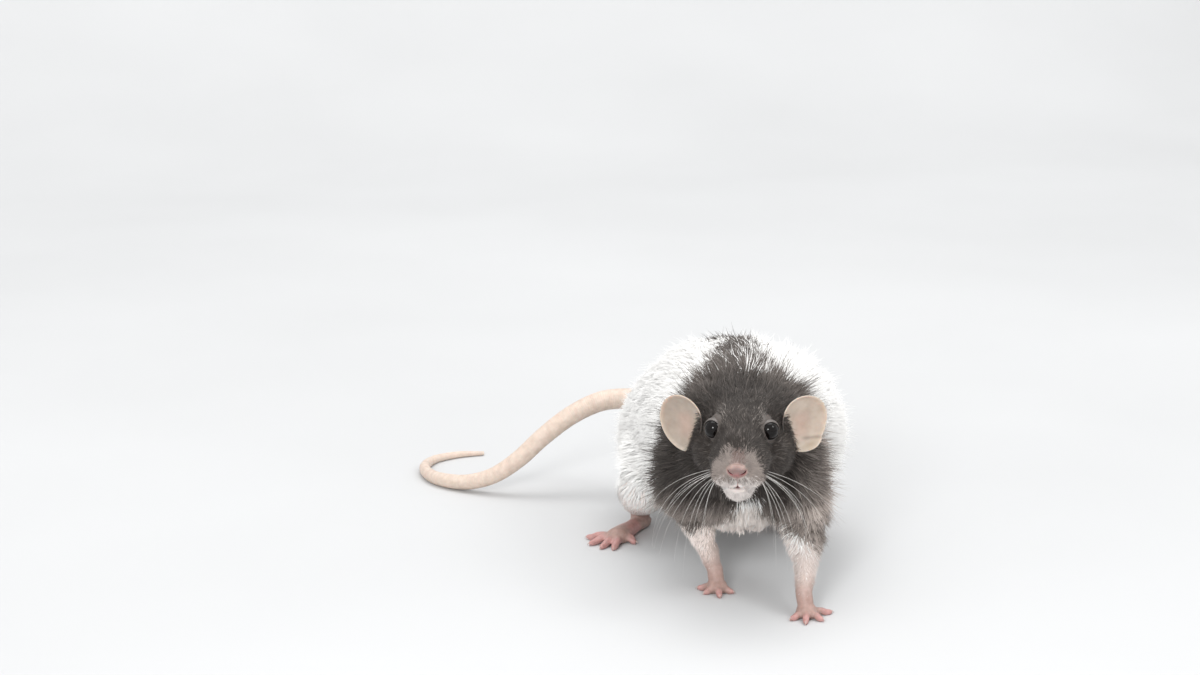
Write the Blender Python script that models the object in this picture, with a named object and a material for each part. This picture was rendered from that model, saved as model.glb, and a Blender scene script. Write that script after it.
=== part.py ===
"""A hooded, round-eared pet rat standing on the floor and looking up, life size, as a still model.

The rat faces -Y with +Z up. The solids hold the outline of the coat: scene-side fur lies inside them.
Sizes are written in millimetres in the rat's own frame, whose floor point lies under the middle of the
body, and are turned into metres by mm(). At the end the model is moved so that the middle of its box's
bottom is the origin.
"""

import math

import bmesh
import bpy
from mathutils import Matrix, Vector

MILLIMETRE = 0.001
GAP = 0.3                       # clearance between touching nodes
BIG = 400.0                     # longer than the animal, for half-space cutters

# Body mass: how finely it is blended and how many triangles it keeps.
BLEND_VOXEL = 1.1
BLEND_PASSES = 14
BODY_TRIANGLES = 4000
PAW_VOXEL = 0.42
PAW_PASSES = 3
FOREPAW_TRIANGLES = 340
HINDPAW_TRIANGLES = 380
CUT_SEGMENTS = 14               # sides of the round cutters that part the body

# Spine stations, tail end to neck: y, sideways shift, top, bottom, half width.
TRUNK = [
    (88, -10, 49, 35, 8.5),
    (79, -6.5, 59, 28, 19),
    (65, -2, 69.5, 22, 29.5),
    (48, 2.5, 79, 18, 36.5),
    (28, 5.5, 87, 18, 40.5),
    (5, 7, 90.8, 19.5, 41),
    (-15, 5, 90.2, 22.5, 38),
    (-36, -1.5, 88, 27, 31),
    (-52, -6, 84, 34, 22.5),
    (-62, -8.5, 78, 42, 14),
]
TOP_FULLNESS = 1.12             # over 1 narrows the back
SIDE_FULLNESS = 0.95            # under 1 widens the belly
CHEST = ((-4.5, -43, 41.5), (19, 19, 22))

# Head frame: at the middle of the eyes, turned towards its right and a little down.
EYE_MIDDLE = (-10.8, -71.0, 71.0)
HEAD_YAW = -16.0
HEAD_PITCH = 3.0

# Head stations in the head frame, neck to nose: y, half width, top, bottom.
SKULL = [
    (36, 20.5, 12, -30),
    (26, 20, 12, -27),
    (15, 17.8, 11.5, -24.5),
    (5, 13.6, 10, -22.8),
    (-1.5, 11.0, 8.0, -21.8),
    (-9, 9.9, 4.4, -21),
    (-16, 8.5, 1.2, -19.5),
    (-21, 6.8, -1.8, -15.5),
    (-24.5, 5.0, -3.6, -12.5),
    (-27, 3.0, -5.4, -10),
]
CHEEK = ((10.5, 10, -12.5), (9.0, 13, 9.5))             # centre and radii, mirrored
BROW = ((7.2, 2, 3.2), (4.0, 7, 3.8))
WHISKER_PAD = ((5.4, -16.5, -10.8), (5.5, 8.6, 5.8))
CHIN = ((0, -12.5, -18.2), (6.3, 9.5, 5.0))
NOSE_PAD = ((1.7, -25.6, -6.9), (2.5, 3.0, 2.9))
WHISKER_BED = ((6.8, -8.5, -9.0), (5.0, 8.0, 6.5))      # fills in from the pad to the cheek

EYE_CENTRE = (9.9, -0.4, 0.0)
EYE_RADIUS = 3.4
LID_RADIUS = 3.35
LID_THICKNESS = 0.62
LID_LOOK = (0.80, -0.59, 0.10)                          # the way an eye faces

NOSTRIL = ((2.35, -27.9, -7.4), (0.55, 1.6, 0.75))      # a slit in the side of the nose pad
NOSTRIL_TURN = (0, 35, 40)
CLEFT_WIDTH = 0.5
CLEFT = [(0, -29.2, -8.4), (0, -27.2, -11.2), (0, -24.6, -15.2)]
MOUTH_RADIUS = 0.6
MOUTH = [
    (-9.2, -12.6, -15.2), (-7.2, -18.4, -15.9), (-3.6, -22.0, -16.1), (0, -23.6, -15.3),
    (3.6, -22.0, -16.1), (7.2, -18.4, -15.9), (9.2, -12.6, -15.2),
]

# Ears, in the head frame: the flap's middle, its half height and half width, and its lean.
EAR_CENTRES = {1: (21.9, 14.5, -2.2), -1: (23.0, 14.5, -3.4)}   # left and right
EAR_HEIGHT = 11.2
EAR_WIDTH = 9.2
EAR_TAPER = 0.16                                        # how much narrower the lower half is
EAR_DEPTH = 2.3
EAR_THICKNESS = 0.9
EAR_TURN = (4, 5, 32)                                   # tilt back, lean out, open to the side
EAR_RINGS = 5
EAR_SIDES = 24
EAR_ROOT = [(12.5, 16.8, -4.2), (18.4, 17.4, -3.2)]
EAR_ROOT_RADII = [3.4, 2.5]

# Legs: paths of joint centres and their radii, shoulder or hip to wrist or ankle.
FORELEG_RIGHT = [(-16.5, -35.5, 54), (-23.3, -34.5, 42), (-20.5, -29, 27), (-16.8, -36, 17), (-14.6, -44, 8.5)]
FORELEG_LEFT = [(11.5, -44, 55), (16, -47, 43), (18.3, -56, 29), (15.4, -67, 18), (12.1, -77.4, 8.5)]
FORELEG_RIGHT_RADII = [15, 13.2, 7.8, 4.9, 3.4]
FORELEG_LEFT_RADII = [15, 11.5, 7.8, 5.1, 3.5]
HAUNCH_RIGHT = ((-24.5, 42, 37), (13, 27, 25))
HAUNCH_LEFT = ((32, 40, 37), (13.5, 27, 25))
HINDLEG_RIGHT = [(-25, 24, 36), (-30, 20, 25), (-30, 32, 17), (-28.2, 41, 10.5), (-29, 39.5, 5.4)]
HINDLEG_LEFT = [(33, 24, 36), (37, 21, 25), (34, 34, 17), (30.4, 43.4, 10.5), (30.6, 42.2, 5.4)]
HINDLEG_RADII = [15, 11.5, 9.5, 5.2, 4.2]

# Paws: palm centre, palm radii, wrist, then toes as (tip, knuckle share, radius).
FOREPAW_RIGHT = {
    "palm": (-14.2, -46.6, 3.0), "wrist": (-14.6, -44, 9.5), "toes": [
        (-20.1, -43.9, 1.3), (-18.9, -49.3, 1.3), (-14.7, -53.7, 1.3), (-9.6, -50.0, 1.3)],
    "thumb": (-10.4, -46.4, 1.6),
}
FOREPAW_LEFT = {
    "palm": (12.7, -80.2, 3.0), "wrist": (12.1, -77.4, 9.5), "toes": [
        (6.7, -83.6, 1.3), (10.4, -88.2, 1.3), (16.6, -86.0, 1.3), (21.5, -78.9, 1.3)],
    "thumb": (9.0, -79.0, 1.6),
}
PALM_RADII = (3.9, 4.3, 2.7)
FORE_TOE_RADII = [1.7, 1.25, 1.3, 1.0]
THUMB_RADII = [1.2, 1.0, 0.9, 0.8]
HINDPAW_RIGHT = {
    "heel": (-27.6, 41.5, 3.4), "ball": (-41.6, 22.0, 3.0), "ankle": (-28.6, 40.4, 7.8), "toes": [
        (-35.4, 18.0, 1.5), (-44.7, 11.4, 1.5), (-49.2, 13.5, 1.5), (-52.6, 18.9, 1.5), (-52.3, 27.1, 1.5)],
}
HINDPAW_LEFT = {
    "heel": (29.6, 45.5, 3.4), "ball": (33.4, 25.4, 3.0), "ankle": (30.4, 43.8, 7.8), "toes": [
        (27.6, 21.4, 1.5), (30.4, 14.4, 1.5), (34.2, 12.2, 1.5), (38.2, 14.6, 1.5), (40.2, 21.4, 1.5)],
}
SOLE_RADII = [3.9, 3.5, 4.3, 4.6, 3.4]
HIND_TOE_RADII = [2.0, 1.55, 1.55, 1.2]
CLAW_LENGTH = 1.9
CLAW_RADIUS = 0.55

# Tail: route and radius, root to tip. The last stretch lies on the floor.
TAIL_ROUTE = [
    (-7, 77, 38), (-10.5, 86, 39.8), (-18, 93, 41.2), (-28, 97, 41.6), (-38, 98, 40), (-50, 97.5, 34.5),
    (-62, 96.5, 26), (-73, 97, 16), (-84, 100, 8.2), (-95, 106, 4.2), (-105, 116, 3.0),
    (-110, 129, 2.5), (-110, 143, 2.1), (-104, 155, 1.8), (-93, 162, 1.5), (-81, 164, 1.15),
]
TAIL_RADII = [5.6, 5.2, 4.9, 4.6, 4.45, 4.25, 4.05, 3.85, 3.6, 3.4, 3.1, 2.7, 2.3, 1.9, 1.55, 0.9]
TAIL_LENGTHS = 5
TAIL_SIDES = 12
TAIL_STEPS_PER_POINT = 3
FLOOR_PRESS = 0.6               # depth by which soles and tail are flattened against the floor

FUR_WHITE = (0.86, 0.84, 0.80)
FUR_HOOD = (0.115, 0.10, 0.092)
BARE_PINK = (0.78, 0.50, 0.44)
EAR_TAN = (0.72, 0.58, 0.47)
EYE_BLACK = (0.010, 0.008, 0.008)


def mm(*values):
    """Millimetres in the rat's frame as a Vector in metres."""
    return Vector(values) * MILLIMETRE


def head_matrix():
    """Carries a point of the head frame, in metres, to the rat's frame."""
    turn = Matrix.Rotation(math.radians(HEAD_YAW), 4, "Z") @ Matrix.Rotation(math.radians(HEAD_PITCH), 4, "X")
    return Matrix.Translation(mm(*EYE_MIDDLE)) @ turn


def turned(degrees):
    """Rotation by X, then Y, then Z angles in degrees."""
    x, y, z = (math.radians(angle) for angle in degrees)
    return Matrix.Rotation(z, 4, "Z") @ Matrix.Rotation(y, 4, "Y") @ Matrix.Rotation(x, 4, "X")


def mirrored(point, side):
    """The point on the left (side 1) or on the right (side -1) of its frame."""
    return (point[0] * side, point[1], point[2])


def material(name, colour, roughness=0.7):
    """Principled material of one colour."""
    made = bpy.data.materials.new(name)
    made.use_nodes = True
    shader = made.node_tree.nodes["Principled BSDF"]
    shader.inputs["Base Color"].default_value = (*colour, 1)
    shader.inputs["Roughness"].default_value = roughness
    return made


def linked(name, bm):
    """Turns a bmesh into an object of the scene, with its faces pointing out."""
    bmesh.ops.recalc_face_normals(bm, faces=bm.faces)
    mesh = bpy.data.meshes.new(name)
    bm.to_mesh(mesh)
    bm.free()
    obj = bpy.data.objects.new(name, mesh)
    bpy.context.scene.collection.objects.link(obj)
    return obj


def applied(obj):
    """Replaces the object's mesh by its evaluated one and drops its modifiers."""
    bpy.context.view_layer.update()
    graph = bpy.context.evaluated_depsgraph_get()
    mesh = bpy.data.meshes.new_from_object(obj.evaluated_get(graph))
    obj.modifiers.clear()
    obj.data = mesh
    return obj


def removed(*objects):
    """Deletes helper objects."""
    for obj in objects:
        bpy.data.objects.remove(obj)


def spline(rows, steps):
    """Catmull-Rom rows through the given rows of numbers, with steps rows for each stretch."""
    ends = [[2 * a - b for a, b in zip(rows[0], rows[1])], [2 * a - b for a, b in zip(rows[-1], rows[-2])]]
    rows = [ends[0], *rows, ends[1]]
    found = []
    for i in range(1, len(rows) - 2):
        for k in range(steps):
            t = k / steps
            weights = (
                -0.5 * t**3 + t**2 - 0.5 * t,
                1.5 * t**3 - 2.5 * t**2 + 1,
                -1.5 * t**3 + 2 * t**2 + 0.5 * t,
                0.5 * t**3 - 0.5 * t**2,
            )
            found.append([sum(w * rows[i - 1 + j][c] for j, w in enumerate(weights)) for c in range(len(rows[0]))])
    return [*found, list(rows[-2])]


def add_rings(bm, rings):
    """Closed body through rings of points, its ends filled."""
    loops = [[bm.verts.new(p) for p in ring] for ring in rings]
    for near, far in zip(loops, loops[1:]):
        for i in range(len(near)):
            k = (i + 1) % len(near)
            bm.faces.new((near[i], near[k], far[k], far[i]))
    bm.faces.new(loops[0])
    bm.faces.new(reversed(loops[-1]))


def oval(centre, right, up, half_width, rise, drop, sides=32, top_fullness=0.92):
    """Ring of points: an egg-shaped section, fuller than an ellipse where the exponent is under 1."""
    points = []
    for k in range(sides):
        angle = 2 * math.pi * k / sides
        c, s = math.cos(angle), math.sin(angle)
        fullness = top_fullness if s > 0 else SIDE_FULLNESS
        across = math.copysign(abs(c) ** fullness, c) * half_width
        along = math.copysign(abs(s) ** fullness, s) * (rise if s > 0 else drop)
        points.append(centre + right * across + up * along)
    return points


def add_ellipsoid(bm, centre, radii, turn=None, segments=24):
    """Ellipsoid with its centre and radii in millimetres, turned by a rotation matrix."""
    scale = Matrix.Diagonal((*[r * MILLIMETRE for r in radii], 1))
    place = Matrix.Translation(mm(*centre)) @ (turn or Matrix.Identity(4)) @ scale
    bmesh.ops.create_uvsphere(bm, u_segments=segments, v_segments=segments // 2, radius=1, matrix=place)


def tube_rings(points, radii, sides, steps, flat=1.0):
    """Rings of a round tube on a smooth curve; flat under 1 lowers its height."""
    rows = spline([[*p, r] for p, r in zip(points, radii)], steps)
    centres = [mm(*row[:3]) for row in rows]
    rings = []
    for i, (centre, row) in enumerate(zip(centres, rows)):
        tangent = (centres[min(i + 1, len(rows) - 1)] - centres[max(i - 1, 0)]).normalized()
        side = tangent.cross(Vector((0, 0, 1)))
        if side.length < 0.2:
            side = tangent.cross(Vector((0, 1, 0)))
        side.normalize()
        up = side.cross(tangent)
        radius = row[3] * MILLIMETRE
        ring = []
        for k in range(sides):
            angle = 2 * math.pi * k / sides
            ring.append(centre + side * radius * math.cos(angle) + up * radius * flat * math.sin(angle))
        rings.append(ring)
    return rings


def add_tube(bm, points, radii, sides=16, steps=5, flat=1.0):
    """Closed round tube on a smooth curve, with a ball at each end."""
    add_rings(bm, tube_rings(points, radii, sides, steps, flat))
    for point, radius in ((points[0], radii[0]), (points[-1], radii[-1])):
        add_ellipsoid(bm, point, (radius, radius, radius * flat), segments=12)


def blended(name, bm, voxel, passes, triangles):
    """One closed skin round all the bodies in bm, smoothed where they meet, with at most so many triangles."""
    obj = linked(name, bm)
    remesh = obj.modifiers.new("Remesh", "REMESH")
    remesh.mode = "VOXEL"
    remesh.voxel_size = voxel * MILLIMETRE
    smooth = obj.modifiers.new("Smooth", "SMOOTH")
    smooth.factor = 0.5
    smooth.iterations = passes
    applied(obj)
    thin = obj.modifiers.new("Decimate", "DECIMATE")
    thin.ratio = min(1.0, triangles / (2 * len(obj.data.polygons)))
    return applied(obj)


def boolean(obj, operation, *others, solver="EXACT"):
    """Applies a Boolean with each of the other objects, then deletes them."""
    collection = bpy.data.collections.new("operands")
    bpy.context.scene.collection.children.link(collection)
    for other in others:
        collection.objects.link(other)
    join = obj.modifiers.new("Boolean", "BOOLEAN")
    join.operation = operation
    join.solver = solver
    join.operand_type = "COLLECTION"
    join.collection = collection
    applied(obj)
    removed(*others)
    bpy.data.collections.remove(collection)
    return obj


def largest_body(obj):
    """Keeps only the object's largest closed surface."""
    bm = bmesh.new()
    bm.from_mesh(obj.data)
    bmesh.ops.triangulate(bm, faces=bm.faces)
    left = set(bm.verts)
    bodies = []
    while left:
        stack = [left.pop()]
        body = list(stack)
        while stack:
            for edge in stack.pop().link_edges:
                for vert in edge.verts:
                    if vert in left:
                        left.remove(vert)
                        stack.append(vert)
                        body.append(vert)
        bodies.append(body)
    bodies.sort(key=lambda body: -len(body))
    for body in bodies[1:]:
        bmesh.ops.delete(bm, geom=body, context="VERTS")
    bm.to_mesh(obj.data)
    bm.free()
    return obj


def ellipsoid_object(centre, radii, turn=None, grow=0.0):
    """Ellipsoid as an object, grown by some millimetres."""
    bm = bmesh.new()
    add_ellipsoid(bm, centre, [r + grow for r in radii], turn, CUT_SEGMENTS)
    return linked("region", bm)


def box_object(low, high, frame=None, grow=0.0):
    """Box between two corners of a frame, grown by some millimetres."""
    bm = bmesh.new()
    bmesh.ops.create_cube(bm, size=1)
    size = mm(*[h - l + 2 * grow for l, h in zip(low, high)])
    middle = mm(*[(l + h) / 2 for l, h in zip(low, high)])
    bmesh.ops.transform(
        bm, matrix=(frame or Matrix.Identity(4)) @ Matrix.Translation(middle) @ Matrix.Diagonal((*size, 1)), verts=bm.verts
    )
    return linked("region", bm)


def parted(rest, name, region):
    """Cuts what lies in a region off the rest, leaving a gap. region(grow) makes the region's solid."""
    piece = rest.copy()
    piece.data = rest.data.copy()
    piece.name = name
    bpy.context.scene.collection.objects.link(piece)
    boolean(piece, "INTERSECT", region(0.0), solver="MANIFOLD")
    boolean(rest, "DIFFERENCE", region(GAP), solver="MANIFOLD")
    largest_body(piece)
    return piece


def body_mass():
    """Trunk, neck, head and the fleshy part of each leg, blended into one body."""
    bm = bmesh.new()
    right, up = Vector((1, 0, 0)), Vector((0, 0, 1))
    rings = []
    for y, shift, top, bottom, half_width in spline(TRUNK, 5):
        middle = bottom + (top - bottom) * 0.44         # a rat is widest below its middle
        rings.append(oval(mm(shift, y, middle), right, up, half_width * MILLIMETRE,
                          (top - middle) * MILLIMETRE, (middle - bottom) * MILLIMETRE,
                          top_fullness=TOP_FULLNESS))
    add_rings(bm, rings)
    add_ellipsoid(bm, *CHEST)
    add_head(bm)
    add_tube(bm, FORELEG_RIGHT, FORELEG_RIGHT_RADII)
    add_tube(bm, FORELEG_LEFT, FORELEG_LEFT_RADII)
    for path in (HINDLEG_RIGHT, HINDLEG_LEFT):
        add_tube(bm, path, HINDLEG_RADII)
    for centre, radii in (HAUNCH_RIGHT, HAUNCH_LEFT):
        add_ellipsoid(bm, centre, radii, turned((-12, 0, 0)))
    return blended("body", bm, BLEND_VOXEL, BLEND_PASSES, BODY_TRIANGLES)


def add_head(bm):
    """Skull wedge with cheeks, brows, whisker pads, chin and nose pad, in the head frame."""
    frame = head_matrix()
    axes = frame.to_3x3()
    right, up = axes @ Vector((1, 0, 0)), axes @ Vector((0, 0, 1))
    rings = []
    for y, half_width, top, bottom in spline(SKULL, 4):
        middle = bottom + (top - bottom) * 0.52
        rings.append(oval(frame @ mm(0, y, middle), right, up, half_width * MILLIMETRE,
                          (top - middle) * MILLIMETRE, (middle - bottom) * MILLIMETRE))
    add_rings(bm, rings)
    turn = axes.to_4x4()
    for centre, radii in (CHEEK, BROW, WHISKER_PAD, WHISKER_BED, NOSE_PAD, CHIN):
        for side in (1, -1) if centre[0] else (1,):
            place = frame @ mm(*mirrored(centre, side))
            add_ellipsoid(bm, [v / MILLIMETRE for v in place], radii, turn)


def add_toe(bm, root, tip, radii):
    """Toe from its root on the paw to its tip, arched at the knuckle."""
    run = Vector(tip) - Vector(root)
    middle = Vector(root) + run * 0.45 + Vector((0, 0, 0.9))
    near_tip = Vector(root) + run * 0.78 + Vector((0, 0, 0.25))
    add_tube(bm, [root, middle, near_tip, tip], radii, sides=12, steps=4)


def claw(root, tip):
    """Small hooked claw beyond a toe's tip."""
    run = (Vector(tip) - Vector(root)).normalized()
    run.z = 0
    base = Vector(tip) - run * 0.5 + Vector((0, 0, 0.35))
    middle = Vector(tip) + run * (0.9 + CLAW_LENGTH * 0.35) + Vector((0, 0, 0.3))
    end = Vector(tip) + run * (0.9 + CLAW_LENGTH) + Vector((0, 0, -0.9))
    bm = bmesh.new()
    add_rings(bm, tube_rings([base, middle, end], [CLAW_RADIUS * 1.2, CLAW_RADIUS, 0.16], 5, 1))
    return linked("claw", bm)


def with_claws(paw, pairs):
    """Joins a claw to each toe's tip."""
    return boolean(paw, "UNION", *[claw(root, tip) for root, tip in pairs], solver="MANIFOLD")


def forepaw(sizes):
    """Palm with four spread toes, a thumb stub and the wrist."""
    bm = bmesh.new()
    palm = Vector(sizes["palm"])
    add_ellipsoid(bm, palm, PALM_RADII)
    add_tube(bm, [sizes["wrist"], (palm + Vector(sizes["wrist"])) / 2, palm], [3.2, 3.1, 2.6], sides=16, steps=3)
    pairs = []
    for tip in sizes["toes"]:
        root = palm + (Vector(tip) - palm).normalized() * 2.2 - Vector((0, 0, 0.5))
        add_toe(bm, root, tip, FORE_TOE_RADII)
        pairs.append((root, tip))
    add_toe(bm, palm - Vector((0, 0, 0.4)), sizes["thumb"], THUMB_RADII)
    return with_claws(blended("forepaw", bm, PAW_VOXEL, PAW_PASSES, FOREPAW_TRIANGLES), pairs)


def hindpaw(sizes):
    """Long sole from heel to ball with five toes, and the ankle."""
    bm = bmesh.new()
    heel, ball = Vector(sizes["heel"]), Vector(sizes["ball"])
    line = [heel, heel.lerp(ball, 0.4), heel.lerp(ball, 0.75), ball]
    add_tube(bm, line, [SOLE_RADII[0], SOLE_RADII[1], SOLE_RADII[2], SOLE_RADII[3]], steps=3, flat=0.78)
    add_tube(bm, [sizes["ankle"], heel.lerp(ball, 0.12) + Vector((0, 0, 0.6))], [4.0, 3.8], steps=3)
    pairs = []
    along = (ball - heel).normalized()
    across = Vector((along.y, -along.x, 0))
    for number, tip in enumerate(sizes["toes"]):
        reach = (Vector(tip) - ball).dot(across)
        root = ball + across * max(-3.6, min(3.6, reach * 0.42)) - Vector((0, 0, 0.7))
        if number == 0:
            root -= along * 3.0                          # the inner toe starts further back
        add_toe(bm, root, tip, HIND_TOE_RADII)
        pairs.append((root, tip))
    return with_claws(blended("hindpaw", bm, PAW_VOXEL, PAW_PASSES, HINDPAW_TRIANGLES), pairs)


def above_floor(obj):
    """Flattens what lies under the floor, so that the soles are small flats at one level."""
    under = box_object((-BIG, -BIG, -BIG), (BIG, BIG, 0))
    return boolean(obj, "DIFFERENCE", under, solver="MANIFOLD")


def sunk(sizes):
    """The same paw sizes, lowered a little into the floor."""
    drop = Vector((0, 0, FLOOR_PRESS))
    lowered = {key: Vector(value) - drop for key, value in sizes.items() if key != "toes"}
    lowered["toes"] = [Vector(tip) - drop for tip in sizes["toes"]]
    return lowered


def ear(side):
    """Thin round cup on a short stalk; its inner edge goes into the head."""
    frame = head_matrix()
    lean = turned((EAR_TURN[0], EAR_TURN[1] * side, EAR_TURN[2] * side))
    place = frame @ Matrix.Translation(mm(*mirrored(EAR_CENTRES[side], side))) @ lean
    rings = []
    for ring in range(EAR_RINGS + 1):
        share = ring / EAR_RINGS
        rings.append([ear_point(share, 2 * math.pi * k / EAR_SIDES, side) for k in range(EAR_SIDES)])
    bm = bmesh.new()
    loops = [[bm.verts.new(place @ p) for p in ring] for ring in rings[1:]]
    hub = bm.verts.new(place @ rings[0][0])
    for k in range(EAR_SIDES):
        n = (k + 1) % EAR_SIDES
        bm.faces.new((hub, loops[0][k], loops[0][n]))
        for near, far in zip(loops, loops[1:]):
            bm.faces.new((near[k], far[k], far[n], near[n]))
    flap = linked(f"ear_{'left' if side > 0 else 'right'}", bm)
    wall = flap.modifiers.new("Solidify", "SOLIDIFY")
    wall.thickness = EAR_THICKNESS * MILLIMETRE
    wall.offset = 0
    applied(flap)
    bm = bmesh.new()
    path = [[v / MILLIMETRE for v in frame @ mm(*mirrored(p, side))] for p in EAR_ROOT]
    add_rings(bm, tube_rings(path, EAR_ROOT_RADII, 14, 2))
    return boolean(flap, "UNION", linked("stalk", bm), solver="MANIFOLD")


def ear_point(share, angle, side):
    """Point of the ear's middle surface: share 0 at its hub to 1 at its rim."""
    c, s = math.cos(angle), math.sin(angle)
    outward = max(0.0, c * side)
    reach_x = EAR_WIDTH * (1 + EAR_TAPER * s) * share
    reach_z = EAR_HEIGHT * share
    cup = EAR_DEPTH * (1 - share**2)                    # hollow towards the front
    curl = -0.9 * share**4 * outward                    # the outer rim turns forward
    wave = 0.35 * share**2 * math.sin(3 * angle + 0.6)
    return mm(reach_x * c, cup + curl + wave, reach_z * s)


def eye_frame(side):
    """Place of an eye, its own -Y axis along the way it faces."""
    look = Vector(mirrored(LID_LOOK, side)).normalized()
    turn = look.to_track_quat("-Y", "Z").to_matrix().to_4x4()
    return head_matrix() @ Matrix.Translation(mm(*mirrored(EYE_CENTRE, side))) @ turn


def eye(side):
    """Round eyeball."""
    bm = bmesh.new()
    place = eye_frame(side) @ Matrix.Rotation(math.radians(90), 4, "X")
    bmesh.ops.create_uvsphere(
        bm, u_segments=16, v_segments=9, radius=EYE_RADIUS * MILLIMETRE, matrix=place
    )
    return linked(f"eye_{'left' if side > 0 else 'right'}", bm)


def lid(side):
    """Rim of the eyelids: a ring round the visible part of the eyeball."""
    place = eye_frame(side)
    path = []
    sides = 20
    for k in range(sides):
        angle = 2 * math.pi * k / sides
        x = LID_RADIUS * 0.98 * math.cos(angle)
        z = LID_RADIUS * 0.90 * math.sin(angle)
        path.append(place @ mm(x, -1.15, z))
    bm = bmesh.new()
    rings = []
    for k, point in enumerate(path):
        out = (point - place @ mm(0, -1.15, 0)).normalized()
        front = (place.to_3x3() @ Vector((0, -1, 0))).normalized()
        size = LID_THICKNESS * MILLIMETRE
        rings.append([
            bm.verts.new(point + out * size * 1.6 * math.cos(a) + front * size * math.sin(a))
            for a in (2 * math.pi * j / 8 for j in range(8))
        ])
    for k in range(sides):
        near, far = rings[k], rings[(k + 1) % sides]
        for j in range(8):
            n = (j + 1) % 8
            bm.faces.new((near[j], near[n], far[n], far[j]))
    return linked("lid", bm)


def in_head(points):
    """Points of the head frame, in millimetres, as points of the rat's frame."""
    frame = head_matrix()
    return [[v / MILLIMETRE for v in frame @ mm(*point)] for point in points]


def face_details(head):
    """Adds the lids and cuts the sockets, nostrils, cleft and mouth line."""
    boolean(head, "UNION", lid(1), lid(-1), solver="MANIFOLD")
    turn = head_matrix().to_3x3().to_4x4()
    cutters = []
    for side in (1, -1):
        ball = bmesh.new()
        bmesh.ops.create_uvsphere(
            ball, u_segments=16, v_segments=9, radius=(EYE_RADIUS + GAP) * MILLIMETRE,
            matrix=eye_frame(side) @ Matrix.Rotation(math.radians(90), 4, "X"),
        )
        cutters.append(linked("socket", ball))
        slit = bmesh.new()
        x, y, z = NOSTRIL_TURN
        centre, radii = NOSTRIL
        add_ellipsoid(slit, in_head([mirrored(centre, side)])[0], radii,
                      turn @ turned((x, y * side, z * side)), 12)
        cutters.append(linked("nostril", slit))
    groove = bmesh.new()
    add_rings(groove, tube_rings(in_head(MOUTH), [MOUTH_RADIUS] * len(MOUTH), 6, 3))
    cutters.append(linked("mouth", groove))
    cleft = bmesh.new()
    add_rings(cleft, tube_rings(in_head(CLEFT), [CLEFT_WIDTH] * len(CLEFT), 6, 3))
    cutters.append(linked("cleft", cleft))
    return largest_body(boolean(head, "DIFFERENCE", *cutters, solver="MANIFOLD"))


def grown(obj, distance):
    """Copy of the object pushed out along its normals, as a cutter that leaves a gap."""
    other = obj.copy()
    other.data = obj.data.copy()
    bpy.context.scene.collection.objects.link(other)
    push = other.modifiers.new("Displace", "DISPLACE")
    push.strength = distance * MILLIMETRE
    push.mid_level = 0
    return applied(other)


def tail_lengths(rump):
    """The tail as a few lengths with flat ends; the first starts at the rump."""
    rings = tube_rings(TAIL_ROUTE, TAIL_RADII, TAIL_SIDES, TAIL_STEPS_PER_POINT)
    share = (len(rings) - 1) / TAIL_LENGTHS
    pieces = []
    for number in range(TAIL_LENGTHS):
        first, last = round(number * share), round((number + 1) * share)
        stretch = [list(ring) for ring in rings[first:last + 1]]
        if number:
            along = (rings[first + 1][0] - rings[first][0]).normalized() * GAP * MILLIMETRE
            stretch[0] = [p + along for p in stretch[0]]
        bm = bmesh.new()
        add_rings(bm, stretch)
        pieces.append(above_floor(linked(f"tail_{number + 1}", bm)))
    boolean(pieces[0], "DIFFERENCE", grown(rump, GAP), solver="MANIFOLD")
    largest_body(pieces[0])
    return pieces


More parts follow.
